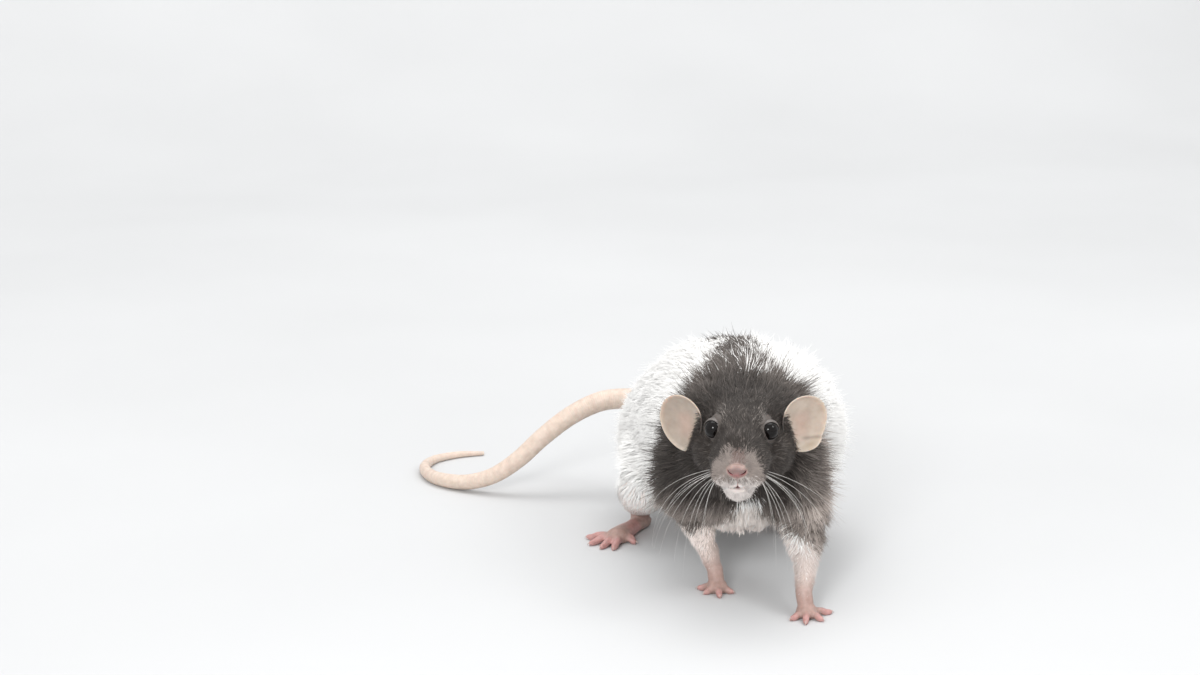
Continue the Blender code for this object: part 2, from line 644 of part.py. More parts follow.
def animal():
    """Builds every node and returns them by name."""
    body = body_mass()
    paws = [forepaw(sunk(FOREPAW_RIGHT)), forepaw(sunk(FOREPAW_LEFT)),
            hindpaw(sunk(HINDPAW_RIGHT)), hindpaw(sunk(HINDPAW_LEFT))]
    boolean(body, "UNION", *paws, solver="MANIFOLD")
    above_floor(body)
    nodes = {}

    def part(name, region):
        nodes[name] = parted(body, name, region)

    for side, sizes in (("right", FOREPAW_RIGHT), ("left", FOREPAW_LEFT)):
        x, y, _ = sizes["palm"]
        part(f"forepaw_{side}", lambda grow, x=x, y=y: ellipsoid_object((x, y - 1, 0), (15, 15, 10.5), grow=grow))
    for side, sizes in (("right", HINDPAW_RIGHT), ("left", HINDPAW_LEFT)):
        middle = Vector(sizes["heel"]).lerp(Vector(sizes["ball"]), 0.62)
        run = Vector(sizes["ball"]) - Vector(sizes["heel"])
        turn = Matrix.Rotation(math.atan2(run.y, run.x) - math.pi / 2, 4, "Z")
        part(f"hindpaw_{side}", lambda grow, m=middle, t=turn: ellipsoid_object((m.x, m.y, 0), (18, 29, 9.5), t, grow=grow))
    for side, path in (("right", FORELEG_RIGHT), ("left", FORELEG_LEFT)):
        elbow, wrist = Vector(path[2]), Vector(path[4])
        middle = elbow.lerp(wrist, 0.62)
        turn = (wrist - elbow).to_track_quat("Z", "X").to_matrix().to_4x4()
        part(f"forearm_{side}", lambda grow, m=middle, t=turn: ellipsoid_object(m, (11, 11, 20), t, grow=grow))
        shoulder = Vector(path[1])
        part(f"upper_arm_{side}", lambda grow, m=shoulder: ellipsoid_object(m, (15, 21, 25), grow=grow))
    for side, path in (("right", HINDLEG_RIGHT), ("left", HINDLEG_LEFT)):
        shank = Vector(path[3])
        part(f"shank_{side}", lambda grow, m=shank: ellipsoid_object(m, (13, 14, 9), grow=grow))
    for side, (centre, radii) in (("right", HAUNCH_RIGHT), ("left", HAUNCH_LEFT)):
        out = math.copysign(5.0, centre[0])
        place = (centre[0] + out, centre[1] - 4, centre[2] - 2)
        part(f"thigh_{side}", lambda grow, p=place: ellipsoid_object(p, (17, 31, 27), grow=grow))
    part("head", lambda grow: box_object((-60, -60, -24.5), (60, 21, 60), head_matrix(), grow))
    part("neck", lambda grow: box_object((-BIG, -BIG, 40), (BIG, -46, BIG), None, grow))
    part("chest", lambda grow: box_object((-BIG, -BIG, -1), (BIG, -10, BIG), None, grow))
    part("rump", lambda grow: box_object((-BIG, 40, -1), (BIG, BIG, BIG), None, grow))
    largest_body(body)
    body.name = "trunk"
    nodes["trunk"] = body
    for piece in tail_lengths(nodes["rump"]):
        nodes[piece.name] = piece
    for side in (1, -1):
        flap = ear(side)
        boolean(flap, "DIFFERENCE", grown(nodes["head"], GAP), solver="MANIFOLD")
        nodes[flap.name] = largest_body(flap)
    face_details(nodes["head"])
    for side in (1, -1):
        ball = eye(side)
        nodes[ball.name] = ball
    return nodes


def dressed(nodes):
    """Gives each node its material."""
    looks = {
        "hood": (material("hood_coat", FUR_HOOD, 0.75), ("head", "neck", "upper_arm")),
        "white": (material("white_coat", FUR_WHITE, 0.75), ("chest", "trunk", "rump", "thigh", "forearm", "shank")),
        "bare": (material("bare_skin", BARE_PINK, 0.5), ("forepaw", "hindpaw", "tail")),
        "ear": (material("ear_skin", EAR_TAN, 0.55), ("ear",)),
        "eye": (material("eye_gloss", EYE_BLACK, 0.08), ("eye",)),
    }
    for name, obj in nodes.items():
        for look, starts in looks.values():
            if name.startswith(starts):
                obj.data.materials.clear()
                obj.data.materials.append(look)
        obj.data.shade_smooth()
        obj.data.set_sharp_from_angle(angle=math.radians(40))


def centred(nodes):
    """Moves the model so that the middle of its box's bottom is the origin."""
    corners = [obj.matrix_world @ v.co for obj in nodes.values() for v in obj.data.vertices]
    low = Vector([min(c[i] for c in corners) for i in range(3)])
    high = Vector([max(c[i] for c in corners) for i in range(3)])
    shift = Matrix.Translation(Vector((-(low.x + high.x) / 2, -(low.y + high.y) / 2, -low.z)))
    for obj in nodes.values():
        obj.data.transform(shift)


def main():
    for obj in list(bpy.data.objects):
        bpy.data.objects.remove(obj)
    nodes = animal()
    dressed(nodes)
    centred(nodes)


main()
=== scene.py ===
"""Visual model of a hooded, round-eared pet rat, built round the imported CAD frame.

One skin replaces the nodes of flesh and lies inside them by the coat's depth. Tufts of solid mesh grow on
it along the lie of the coat out to the CAD outline. Muzzle, eyes, lids, ears, whiskers, claws and tail are
pieces of their own. Sizes are in millimetres in the rat's frame or in its head's frame.
"""

from __future__ import annotations

import logging
import math
from dataclasses import dataclass, field
from enum import Enum

import bmesh
import bpy
import numpy as np
from mathutils import Matrix, Vector
from mathutils.bvhtree import BVHTree


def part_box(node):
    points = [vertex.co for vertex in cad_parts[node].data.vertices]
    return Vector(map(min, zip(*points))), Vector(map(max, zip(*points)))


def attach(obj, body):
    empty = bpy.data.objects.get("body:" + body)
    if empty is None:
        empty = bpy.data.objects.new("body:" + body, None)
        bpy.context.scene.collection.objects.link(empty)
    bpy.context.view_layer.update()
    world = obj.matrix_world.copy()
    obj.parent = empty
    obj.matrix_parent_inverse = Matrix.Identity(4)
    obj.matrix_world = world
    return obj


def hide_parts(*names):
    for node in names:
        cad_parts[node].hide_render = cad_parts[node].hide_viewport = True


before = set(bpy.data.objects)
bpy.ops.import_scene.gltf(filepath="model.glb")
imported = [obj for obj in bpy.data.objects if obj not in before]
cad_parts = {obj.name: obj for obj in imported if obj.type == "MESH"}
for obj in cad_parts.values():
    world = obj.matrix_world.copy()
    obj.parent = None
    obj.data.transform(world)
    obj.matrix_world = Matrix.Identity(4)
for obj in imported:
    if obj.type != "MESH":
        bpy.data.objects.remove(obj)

LOG = logging.getLogger("rat")
MM = 0.001
BODY = "root"
COLOURS = "Coat"
FLOOR_GAP = 0.1

EYE_MIDDLE = (-10.8, -71.0, 71.0)
EYE_SETBACK = -0.4
HEAD_PITCH = 3.0
EAR_CENTRES = {1: (21.9, 14.5, -2.2), -1: (23.0, 14.5, -3.4)}
EAR_HEIGHT = 11.2
EAR_WIDTH = 9.2
EAR_TAPER = 0.16
EAR_DEPTH = 2.3
EAR_TURN = (4, 5, 32)
LEGS = {
    "foreleg_right": [(-23.3, -34.5, 42), (-20.5, -29, 27), (-16.8, -36, 17), (-14.6, -44, 8.5)],
    "foreleg_left": [(16, -47, 43), (18.3, -56, 29), (15.4, -67, 18), (12.1, -77.4, 8.5)],
    "hindleg_right": [(-30, 20, 25), (-30, 32, 17), (-28.2, 41, 10.5), (-29, 39.5, 5.4)],
    "hindleg_left": [(37, 21, 25), (34, 34, 17), (30.4, 43.4, 10.5), (30.6, 42.2, 5.4)],
}
PAWS = {
    "forepaw_right": ((-14.2, -46.6), [(-20.1, -43.9), (-18.9, -49.3), (-14.7, -53.7), (-9.6, -50.0)]),
    "forepaw_left": ((12.7, -80.2), [(6.7, -83.6), (10.4, -88.2), (16.6, -86.0), (21.5, -78.9)]),
    "hindpaw_right": (
        (-41.6, 22.0), [(-35.4, 18.0), (-44.7, 11.4), (-49.2, 13.5), (-52.6, 18.9), (-52.3, 27.1)],
    ),
    "hindpaw_left": ((33.4, 25.4), [(27.6, 21.4), (30.4, 14.4), (34.2, 12.2), (38.2, 14.6), (40.2, 21.4)]),
}
TAIL_ROUTE = [
    (-7, 77, 38), (-10.5, 86, 39.8), (-18, 93, 41.2), (-28, 97, 41.6), (-38, 98, 40), (-50, 97.5, 34.5),
    (-62, 96.5, 26), (-73, 97, 16), (-84, 100, 8.2), (-95, 106, 4.2), (-105, 116, 3.0),
    (-110, 129, 2.5), (-110, 143, 2.1), (-104, 155, 1.8), (-93, 162, 1.5), (-81, 164, 1.15),
]
TAIL_RADII = [5.6, 5.2, 4.9, 4.6, 4.45, 4.25, 4.05, 3.85, 3.6, 3.4, 3.1, 2.7, 2.3, 1.9, 1.55, 0.9]
EYE_CENTRE = (10.0, -1.7, 0.0)
NOSE_HEIGHT = -7.9
NOSE_RADII = (3.5, 2.6)
HOOD_FOOT = (
    [-30, -24, -21, -17.5, -15, -10, -5, 0, 5.3, 9.5, 13.7, 17, 21, 30],
    [21, 20.5, 21, 25, 31, 35, 36, 33.5, 32, 30.5, 27, 23.5, 20, 19.5],
)
FLESH = [
    "head", "neck", "chest", "trunk", "rump", "upper_arm_left", "upper_arm_right", "forearm_left",
    "forearm_right", "forepaw_left", "forepaw_right", "thigh_left", "thigh_right", "shank_left",
    "shank_right", "hindpaw_left", "hindpaw_right",
]
TAIL_NODES = ["tail_1", "tail_2", "tail_3", "tail_4", "tail_5"]


class Side(Enum):
    """The rat's own left and right."""

    LEFT = 1
    RIGHT = -1

    @property
    def word(self) -> str:
        """Name used in node and piece names."""
        return self.name.lower()


def smooth(low: float, high: float, x: np.ndarray) -> np.ndarray:
    """Smoothstep from 0 at low to 1 at high; low may be above high."""
    t = np.clip((x - low) / (high - low), 0.0, 1.0)
    return t * t * (3 - 2 * t)


def bell(x: np.ndarray, width: float) -> np.ndarray:
    """1 at 0, falling to 1/e at the width."""
    return np.exp(-((x / width) ** 2))


def spot(x: np.ndarray, width: float, z: np.ndarray, height: float) -> np.ndarray:
    """1 where x and z are 0, falling to 1/e at the width or the height."""
    return np.exp(-((x / width) ** 2) - (z / height) ** 2)


def along(table: tuple, x: np.ndarray) -> np.ndarray:
    """Values read off a table that holds a row of places and a row of values."""
    return np.interp(x, table[0], table[1])


def cover(under: np.ndarray, tone: np.ndarray | tuple, amount: np.ndarray) -> np.ndarray:
    """Rows of colours or directions, each turned to a tone by its amount from 0 to 1."""
    return under * (1 - amount[:, None]) + np.array(tone) * amount[:, None]


def unit(v: np.ndarray) -> np.ndarray:
    """Rows scaled to length 1."""
    return v / np.maximum(np.linalg.norm(v, axis=-1, keepdims=True), 1e-12)


def along_skin(way: np.ndarray, normal: np.ndarray) -> np.ndarray:
    """Directions with the part that leaves the skin taken out."""
    return way - normal * np.sum(way * normal, axis=1, keepdims=True)


def ripple(points: np.ndarray, wavelength: float, seed: int) -> np.ndarray:
    """Smooth, seeded, noise-like value in about -1 to 1.

    Args:
        points: places in millimetres, one a row.
        wavelength: rough distance between crests in millimetres.
        seed: fixes the pattern.

    Returns:
        One value for each row.
    """
    rng = np.random.default_rng(seed)
    total = np.zeros(len(points))
    for _ in range(8):
        wave = rng.normal(size=3)
        wave *= 2 * math.pi / (wavelength * rng.uniform(0.6, 1.7)) / np.linalg.norm(wave)
        total += np.sin(points @ wave + rng.uniform(0, 2 * math.pi))
    return total / 3.0


def turned(degrees: tuple[float, float, float]) -> Matrix:
    """Rotation by X, then Y, then Z angles in degrees."""
    x, y, z = (math.radians(a) for a in degrees)
    return Matrix.Rotation(z, 4, "Z") @ Matrix.Rotation(y, 4, "Y") @ Matrix.Rotation(x, 4, "X")


def spline(rows: list, steps: int) -> np.ndarray:
    """Catmull-Rom rows through the given rows, with steps rows for each stretch."""
    p = np.array(rows, float)
    p = np.vstack([2 * p[0] - p[1], p, 2 * p[-1] - p[-2]])
    found = []
    for i in range(1, len(p) - 2):
        for k in range(steps):
            t = k / steps
            found.append(
                (-0.5 * t**3 + t**2 - 0.5 * t) * p[i - 1] + (1.5 * t**3 - 2.5 * t**2 + 1) * p[i]
                + (-1.5 * t**3 + 2 * t**2 + 0.5 * t) * p[i + 1] + (0.5 * t**3 - 0.5 * t**2) * p[i + 2]
            )
    return np.array([*found, p[-2]])


def mesh_object(name: str, points: np.ndarray, triangles: np.ndarray,
                finish: bpy.types.Material | None = None) -> bpy.types.Object:
    """Links a smooth-shaded triangle mesh.

    Args:
        name: the piece's name.
        points: corners in metres.
        triangles: three corner numbers a row.
        finish: its material.

    Returns:
        The new object.
    """
    mesh = bpy.data.meshes.new(name)
    mesh.vertices.add(len(points))
    mesh.vertices.foreach_set("co", np.ascontiguousarray(points, np.float32).ravel())
    mesh.loops.add(triangles.size)
    mesh.loops.foreach_set("vertex_index", np.ascontiguousarray(triangles, np.int32).ravel())
    mesh.polygons.add(len(triangles))
    mesh.polygons.foreach_set("loop_start", np.arange(len(triangles), dtype=np.int32) * 3)
    mesh.polygons.foreach_set("use_smooth", np.ones(len(triangles), bool))
    mesh.update()
    if finish:
        mesh.materials.append(finish)
    return linked(name, mesh)


def set_colours(obj: bpy.types.Object, colours: np.ndarray) -> None:
    """Stores one colour for each corner in the attribute that the finishes read."""
    layer = obj.data.attributes.new(COLOURS, "FLOAT_COLOR", "POINT")
    rgba = np.ones((len(colours), 4), np.float32)
    rgba[:, :3] = colours
    layer.data.foreach_set("color", rgba.ravel())


def set_bake_map(obj: bpy.types.Object, uv: np.ndarray) -> None:
    """Stores the OFBake map, given one pair for each corner of the mesh."""
    layer = obj.data.uv_layers.new(name="OFBake")
    index = np.empty(len(obj.data.loops), np.int32)
    obj.data.loops.foreach_get("vertex_index", index)
    layer.data.foreach_set("uv", np.ascontiguousarray(uv[index], np.float32).ravel())


def coordinates(mesh: bpy.types.Mesh) -> np.ndarray:
    """The mesh's corners, one a row."""
    flat = np.empty(len(mesh.vertices) * 3, np.float32)
    mesh.vertices.foreach_get("co", flat)
    return flat.reshape(-1, 3).astype(float)


def normals(mesh: bpy.types.Mesh) -> np.ndarray:
    """The mesh's corner normals, one a row."""
    flat = np.empty(len(mesh.vertices) * 3, np.float32)
    mesh.vertex_normals.foreach_get("vector", flat)
    return flat.reshape(-1, 3).astype(float)


def applied(obj: bpy.types.Object) -> bpy.types.Object:
    """Bakes the object's modifiers into its mesh."""
    bpy.context.view_layer.update()
    graph = bpy.context.evaluated_depsgraph_get()
    mesh = bpy.data.meshes.new_from_object(obj.evaluated_get(graph))
    obj.modifiers.clear()
    obj.data = mesh
    return obj


def linked(name: str, data: bpy.types.ID) -> bpy.types.Object:
    """New object in the scene that shows a mesh, curve, lamp or camera."""
    obj = bpy.data.objects.new(name, data)
    bpy.context.scene.collection.objects.link(obj)
    return obj


def move_corners(obj: bpy.types.Object, points: np.ndarray) -> None:
    """Gives the object's corners new places."""
    obj.data.vertices.foreach_set("co", points.astype(np.float32).ravel())


def loop_triangles(mesh: bpy.types.Mesh) -> np.ndarray:
    """The mesh's triangles, three corner numbers a row."""
    mesh.calc_loop_triangles()
    index = np.empty(len(mesh.loop_triangles) * 3, np.int32)
    mesh.loop_triangles.foreach_get("vertices", index)
    return index.reshape(-1, 3)


def ring_angles(sides: int) -> np.ndarray:
    """Angles of evenly spread corners round a ring."""
    return np.arange(sides) * 2 * math.pi / sides


def grid_faces(rows: int, columns: int, around: bool = True, closed: bool = False) -> np.ndarray:
    """Triangles of a grid whose corners are numbered row by row.

    Args:
        rows: rows of corners.
        columns: corners in a row.
        around: whether each row is a ring.
        closed: whether the last row joins the first.

    Returns:
        The first triangle of every cell, then the second of every cell.
    """
    row_count, column_count = rows if closed else rows - 1, columns if around else columns - 1
    i, k = np.meshgrid(np.arange(row_count), np.arange(column_count), indexing="ij")
    a, b = i * columns + k, i * columns + (k + 1) % columns
    c, d = (i + 1) % rows * columns + k, (i + 1) % rows * columns + (k + 1) % columns
    return np.concatenate([np.stack([a, b, d], -1).reshape(-1, 3), np.stack([a, d, c], -1).reshape(-1, 3)])


def capped_faces(rows: int, columns: int) -> np.ndarray:
    """Triangles of rings of corners and of fans to the two end points, which are numbered last."""
    first, last, k = rows * columns, (rows - 1) * columns, np.arange(columns)
    after = (k + 1) % columns
    return np.concatenate([
        grid_faces(rows, columns), np.stack([np.full(columns, first), after, k], -1),
        np.stack([np.full(columns, first + 1), last + k, last + after], -1),
    ])


def sweep(centres: np.ndarray, radii: np.ndarray, sides: int) -> tuple[np.ndarray, np.ndarray]:
    """Closed round tube along a path.

    Args:
        centres: path points.
        radii: radius at each point, or one row of radii round each point.
        sides: corners of each ring.

    Returns:
        Points and triangles.
    """
    tangent = unit(np.gradient(centres, axis=0))
    across = unit(np.cross(tangent, (0.0, 0.0, 1.0)) + 1e-9)
    rise = np.cross(across, tangent)
    angle = ring_angles(sides)
    reach = radii if radii.ndim == 2 else np.repeat(radii[:, None], sides, axis=1)
    ring = across[:, None] * np.cos(angle)[None, :, None] + rise[:, None] * np.sin(angle)[None, :, None]
    points = (centres[:, None] + ring * reach[..., None]).reshape(-1, 3)
    return np.vstack([points, centres[0], centres[-1]]), capped_faces(len(centres), sides)


def outward(points: np.ndarray, triangles: np.ndarray) -> np.ndarray:
    """Triangles turned so that a closed mesh's volume is positive."""
    a, b, c = (points[triangles[:, k]] for k in range(3))
    volume = np.sum(a * np.cross(b, c))
    return triangles if volume > 0 else triangles[:, ::-1]


def placed(matrix: Matrix, mm: np.ndarray) -> np.ndarray:
    """World places of rows in millimetres in a matrix's own frame."""
    m = np.array(matrix)
    return (mm * MM) @ m[:3, :3].T + m[:3, 3]


def eye_centre(side: Side) -> tuple[float, float, float]:
    """The eye's centre in the head's frame."""
    return EYE_CENTRE[0] * side.value, EYE_CENTRE[1], EYE_CENTRE[2]


def ear_centre(side: Side) -> tuple[float, float, float]:
    """The ear's centre in the head's frame."""
    x, y, z = EAR_CENTRES[side.value]
    return x * side.value, y, z


def ear_turn(side: Side) -> Matrix:
    """The ear's turn in the head's frame."""
    return turned((EAR_TURN[0], EAR_TURN[1] * side.value, EAR_TURN[2] * side.value))


def nose_gap(x: np.ndarray, z: np.ndarray) -> np.ndarray:
    """Distance from the nose pad's middle as seen from the front, 1 at its edge."""
    return np.hypot(x / NOSE_RADII[0], (z - NOSE_HEIGHT) / NOSE_RADII[1])


@dataclass(frozen=True)
class Placement:
    """Where the rat and its head stand in the frame, read from the eye nodes."""

    head: Matrix
    origin: Vector

    @classmethod
    def from_frame(cls) -> Placement:
        """Finds the head's frame from the two eyes."""
        centres = {}
        for side in Side:
            low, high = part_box(f"eye_{side.word}")
            centres[side] = (Vector(low) + Vector(high)) / 2
        across = centres[Side.LEFT] - centres[Side.RIGHT]
        turn = Matrix.Rotation(math.atan2(across.y, across.x), 4, "Z")
        turn = turn @ Matrix.Rotation(math.radians(HEAD_PITCH), 4, "X")
        middle = (centres[Side.LEFT] + centres[Side.RIGHT]) / 2
        middle -= turn @ Vector((0, EYE_SETBACK * MM, 0))
        return cls(Matrix.Translation(middle) @ turn, middle - Vector(EYE_MIDDLE) * MM)

    def head_point(self, *mm: float) -> Vector:
        """World place of a point of the head's frame."""
        return self.head @ (Vector(mm) * MM)

    def from_head(self, mm: np.ndarray) -> np.ndarray:
        """World places of rows in the head's frame."""
        return placed(self.head, mm)

    def to_head(self, world: np.ndarray) -> np.ndarray:
        """Rows in the head's frame of world places."""
        m = np.array(self.head)
        return (world - m[:3, 3]) @ m[:3, :3] / MM

    def head_turn(self) -> np.ndarray:
        """The head's rotation as three columns."""
        return np.array(self.head)[:3, :3]

    def to_rat(self, world: np.ndarray) -> np.ndarray:
        """Rows in the rat's frame of world places."""
        return (world - np.array(self.origin)) / MM

    def from_rat(self, mm: np.ndarray) -> np.ndarray:
        """World places of rows in the rat's frame."""
        return np.asarray(mm, float) * MM + np.array(self.origin)


class Value:
    """A node socket with arithmetic."""

    def __init__(self, graph: Nodes, socket: bpy.types.NodeSocket) -> None:
        """Keeps the socket and the tree that it belongs to."""
        self.graph = graph
        self.socket = socket

    def math(self, operation: str, *others: Value | float, flip: bool = False) -> Value:
        """Result of a Math node on this value and others."""
        terms = [self, *others]
        if flip:
            terms.reverse()
        node = self.graph.add("ShaderNodeMath", {"operation": operation}, dict(enumerate(terms)))
        return self.graph.out(node)

    def __add__(self, other: Value | float) -> Value:
        """Sum."""
        return self.math("ADD", other)

    __radd__ = __add__

    def __sub__(self, other: Value | float) -> Value:
        """Difference."""
        return self.math("SUBTRACT", other)

    def __rsub__(self, other: float) -> Value:
        """Difference from a number."""
        return self.math("SUBTRACT", other, flip=True)

    def __mul__(self, other: Value | float) -> Value:
        """Product."""
        return self.math("MULTIPLY", other)

    __rmul__ = __mul__


class Nodes:
    """A node tree whose nodes come from one method."""

    def __init__(self, tree: bpy.types.NodeTree) -> None:
        """Keeps the tree."""
        self.tree = tree

    def add(self, kind: str, settings: dict | None = None, inputs: dict | None = None) -> bpy.types.Node:
        """Makes a node.

        Args:
            kind: the node's type.
            settings: properties, and "stops" for the places and colours of a ramp's two stops.
            inputs: values or links by socket name or number.

        Returns:
            The node.
        """
        node = self.tree.nodes.new(kind)
        for key, value in (settings or {}).items():
            if key == "stops":
                for element, (place, colour) in zip(node.color_ramp.elements, value):
                    element.position = place
                    element.color = (*colour, 1)
            else:
                setattr(node, key, value)
        for key, value in (inputs or {}).items():
            self.feed(node.inputs[key], value)
        return node

    def out(self, node: bpy.types.Node, socket: str | int = 0) -> Value:
        """One of a node's outputs."""
        return Value(self, node.outputs[socket])

    def feed(self, socket: bpy.types.NodeSocket, value: Value | float | str | tuple) -> None:
        """Links a value to a socket, or sets the socket."""
        if isinstance(value, Value):
            self.tree.links.new(value.socket, socket)
        else:
            socket.default_value = value


class Graph(Nodes):
    """A material's node tree round its Principled shader."""

    def __init__(self, name: str) -> None:
        """Makes the material."""
        self.material = bpy.data.materials.new(name)
        self.material.use_nodes = True
        super().__init__(self.material.node_tree)

    def set(self, **values: Value | float | tuple) -> bpy.types.Material:
        """Feeds the shader's sockets, whose names are given with underscores, and returns the material."""
        shader = self.tree.nodes["Principled BSDF"]
        for key, value in values.items():
            self.feed(shader.inputs[key.replace("_", " ")], value)
        return self.material

    def place(self) -> Value:
        """Object coordinates."""
        return self.out(self.add("ShaderNodeTexCoord"), "Object")

    def attribute(self) -> Value:
        """The colour that the mesh carries."""
        return self.out(self.add("ShaderNodeAttribute", {"attribute_name": COLOURS}), "Color")

    def noise(self, size: float, detail: float = 3.0) -> Value:
        """Noise on Object coordinates whose spots are about size millimetres across."""
        inputs = {"Vector": self.place(), "Scale": 1 / (size * MM), "Detail": detail}
        return self.out(self.add("ShaderNodeTexNoise", {}, inputs), "Fac")

    def cells(self, size: float) -> Value:
        """Distance to the nearest of cells about size millimetres across."""
        inputs = {"Vector": self.place(), "Scale": 1 / (size * MM)}
        return self.out(self.add("ShaderNodeTexVoronoi", {}, inputs), "Distance")

    def blend(self, factor: Value | float, a: Value | tuple, b: Value | tuple, kind: str = "MIX") -> Value:
        """Mixes two colours."""
        a = a if isinstance(a, Value) else (*a, 1)
        b = b if isinstance(b, Value) else (*b, 1)
        node = self.add("ShaderNodeMix", {"data_type": "RGBA", "blend_type": kind}, {0: factor, 6: a, 7: b})
        return self.out(node, 2)

    def mottled(self, spots: Value, start: float, dark: tuple, light: tuple) -> Value:
        """The mesh's own colour with a soft mottling.

        Args:
            spots: noise that places the mottling.
            start: place on the noise where the dark ends; the light starts as far from the other end.
            dark: factor on the colour in the dark spots.
            light: factor on the colour in the light spots.

        Returns:
            The colour.
        """
        ramp = self.add("ShaderNodeValToRGB", {"stops": [(start, dark), (1 - start, light)]}, {"Fac": spots})
        return self.blend(1.0, self.attribute(), self.out(ramp, "Color"), "MULTIPLY")

    def bump(self, height: Value, strength: float, distance: float) -> Value:
        """Normal pushed by a height; distance in millimetres."""
        inputs = {"Height": height, "Strength": strength, "Distance": distance * MM}
        return self.out(self.add("ShaderNodeBump", {}, inputs), "Normal")


class Growth(Nodes):
    """A Geometry Nodes tree that ends in Realize Instances and Set Material."""

    def __init__(self, name: str, inputs: dict[str, str]) -> None:
        """Makes the tree with its geometry and its named inputs, whose socket types are given."""
        super().__init__(bpy.data.node_groups.new(name, "GeometryNodeTree"))
        face = self.tree.interface
        face.new_socket("Geometry", in_out="INPUT", socket_type="NodeSocketGeometry")
        made = {key: face.new_socket(key, in_out="INPUT", socket_type=kind) for key, kind in inputs.items()}
        self.identifiers = {key: socket.identifier for key, socket in made.items()}
        face.new_socket("Geometry", in_out="OUTPUT", socket_type="NodeSocketGeometry")
        self.enter = self.add("NodeGroupInput")

    def given(self, name: str) -> Value:
        """One of the tree's inputs."""
        return self.out(self.enter, name)

    def result(self, last: Value, source: bpy.types.Object, values: dict, name: str,
               finish: bpy.types.Material) -> bpy.types.Object:
        """Ends the tree, runs it on an object and keeps the result as a plain mesh object.

        Args:
            last: the geometry that the tree has made.
            source: object that carries the points or curves; it is removed.
            values: the tree's inputs by name.
            name: the new piece's name.
            finish: its material.

        Returns:
            The new object.
        """
        real = self.add("GeometryNodeRealizeInstances", {}, {0: last})
        dress = self.add("GeometryNodeSetMaterial", {}, {"Geometry": self.out(real), "Material": finish})
        self.add("NodeGroupOutput", {}, {0: self.out(dress)})
        grow = source.modifiers.new("Grow", "NODES")
        grow.node_group = self.tree
        for key, value in values.items():
            grow[self.identifiers[key]] = value
        bpy.context.view_layer.update()
        graph = bpy.context.evaluated_depsgraph_get()
        mesh = bpy.data.meshes.new_from_object(source.evaluated_get(graph))
        source.modifiers.remove(grow)
        bpy.data.objects.remove(source)
        mesh.polygons.foreach_set("use_smooth", np.ones(len(mesh.polygons), bool))
        return linked(name, mesh)


@dataclass(frozen=True)
class HairFinish:
    """Soft hair whose colour comes from the mesh."""

    name: str = "coat_hair"
    dark: tuple = (0.90, 0.895, 0.89)
    light: tuple = (1.06, 1.055, 1.05)

    def make(self) -> bpy.types.Material:
        """Builds the material."""
        g = Graph(self.name)
        colour = g.mottled(g.noise(2.2, 2.0), 0.25, self.dark, self.light)
        return g.set(Base_Color=colour, Roughness=0.62, Specular_IOR_Level=0.28)


@dataclass(frozen=True)
class SkinFinish:
    """Bare and furred skin whose colour comes from the mesh."""

    name: str = "skin"
    dark: tuple = (0.86, 0.82, 0.80)
    light: tuple = (1.10, 1.06, 1.05)
    blood: tuple = (0.9, 0.35, 0.22)

    def make(self) -> bpy.types.Material:
        """Builds the material."""
        g = Graph(self.name)
        colour = g.mottled(g.noise(1.6, 4.0), 0.3, self.dark, self.light)
        folds = g.noise(0.55, 4.0) * 0.6 + g.cells(0.7) * 0.8
        return g.set(
            Base_Color=colour, Roughness=g.noise(1.2) * 0.2 + 0.42, Normal=g.bump(folds, 0.35, 0.16),
            Subsurface_Weight=0.12, Subsurface_Radius=self.blood, Subsurface_Scale=0.0012,
        )


@dataclass(frozen=True)
class EarFinish:
    """Thin, lightly veined ear skin."""

    name: str = "ear_skin"
    dark: tuple = (0.90, 0.86, 0.83)
    light: tuple = (1.07, 1.05, 1.03)
    blood: tuple = (1.0, 0.45, 0.25)

    def make(self) -> bpy.types.Material:
        """Builds the material."""
        g = Graph(self.name)
        colour = g.mottled(g.noise(3.4, 5.0), 0.32, self.dark, self.light)
        fine = g.noise(0.35, 3.0) * 0.7 + g.noise(1.6, 3.0)
        return g.set(
            Base_Color=colour, Roughness=0.56, Normal=g.bump(fine, 0.25, 0.14), Sheen_Weight=0.15,
            Subsurface_Weight=0.25, Subsurface_Radius=self.blood, Subsurface_Scale=0.0015,
        )


@dataclass(frozen=True)
class MuzzleFinish:
    """Moist pink nose pad and lips."""

    name: str = "muzzle_skin"
    blood: tuple = (0.9, 0.3, 0.2)

    def make(self) -> bpy.types.Material:
        """Builds the material."""
        g = Graph(self.name)
        pebble = g.cells(0.34) * 0.9 + g.noise(0.2, 2.0) * 0.3
        return g.set(
            Base_Color=g.attribute(), Roughness=g.noise(0.8) * 0.16 + 0.34, Normal=g.bump(pebble, 0.3, 0.08),
            Subsurface_Weight=0.2, Subsurface_Radius=self.blood, Subsurface_Scale=0.001, Coat_Weight=0.12,
        )


@dataclass(frozen=True)
class LidFinish:
    """Dark moist rim that turns to grey skin."""

    name: str = "lid_skin"

    def make(self) -> bpy.types.Material:
        """Builds the material."""
        g = Graph(self.name)
        return g.set(Base_Color=g.attribute(), Roughness=0.38, Normal=g.bump(g.noise(0.3), 0.3, 0.06))


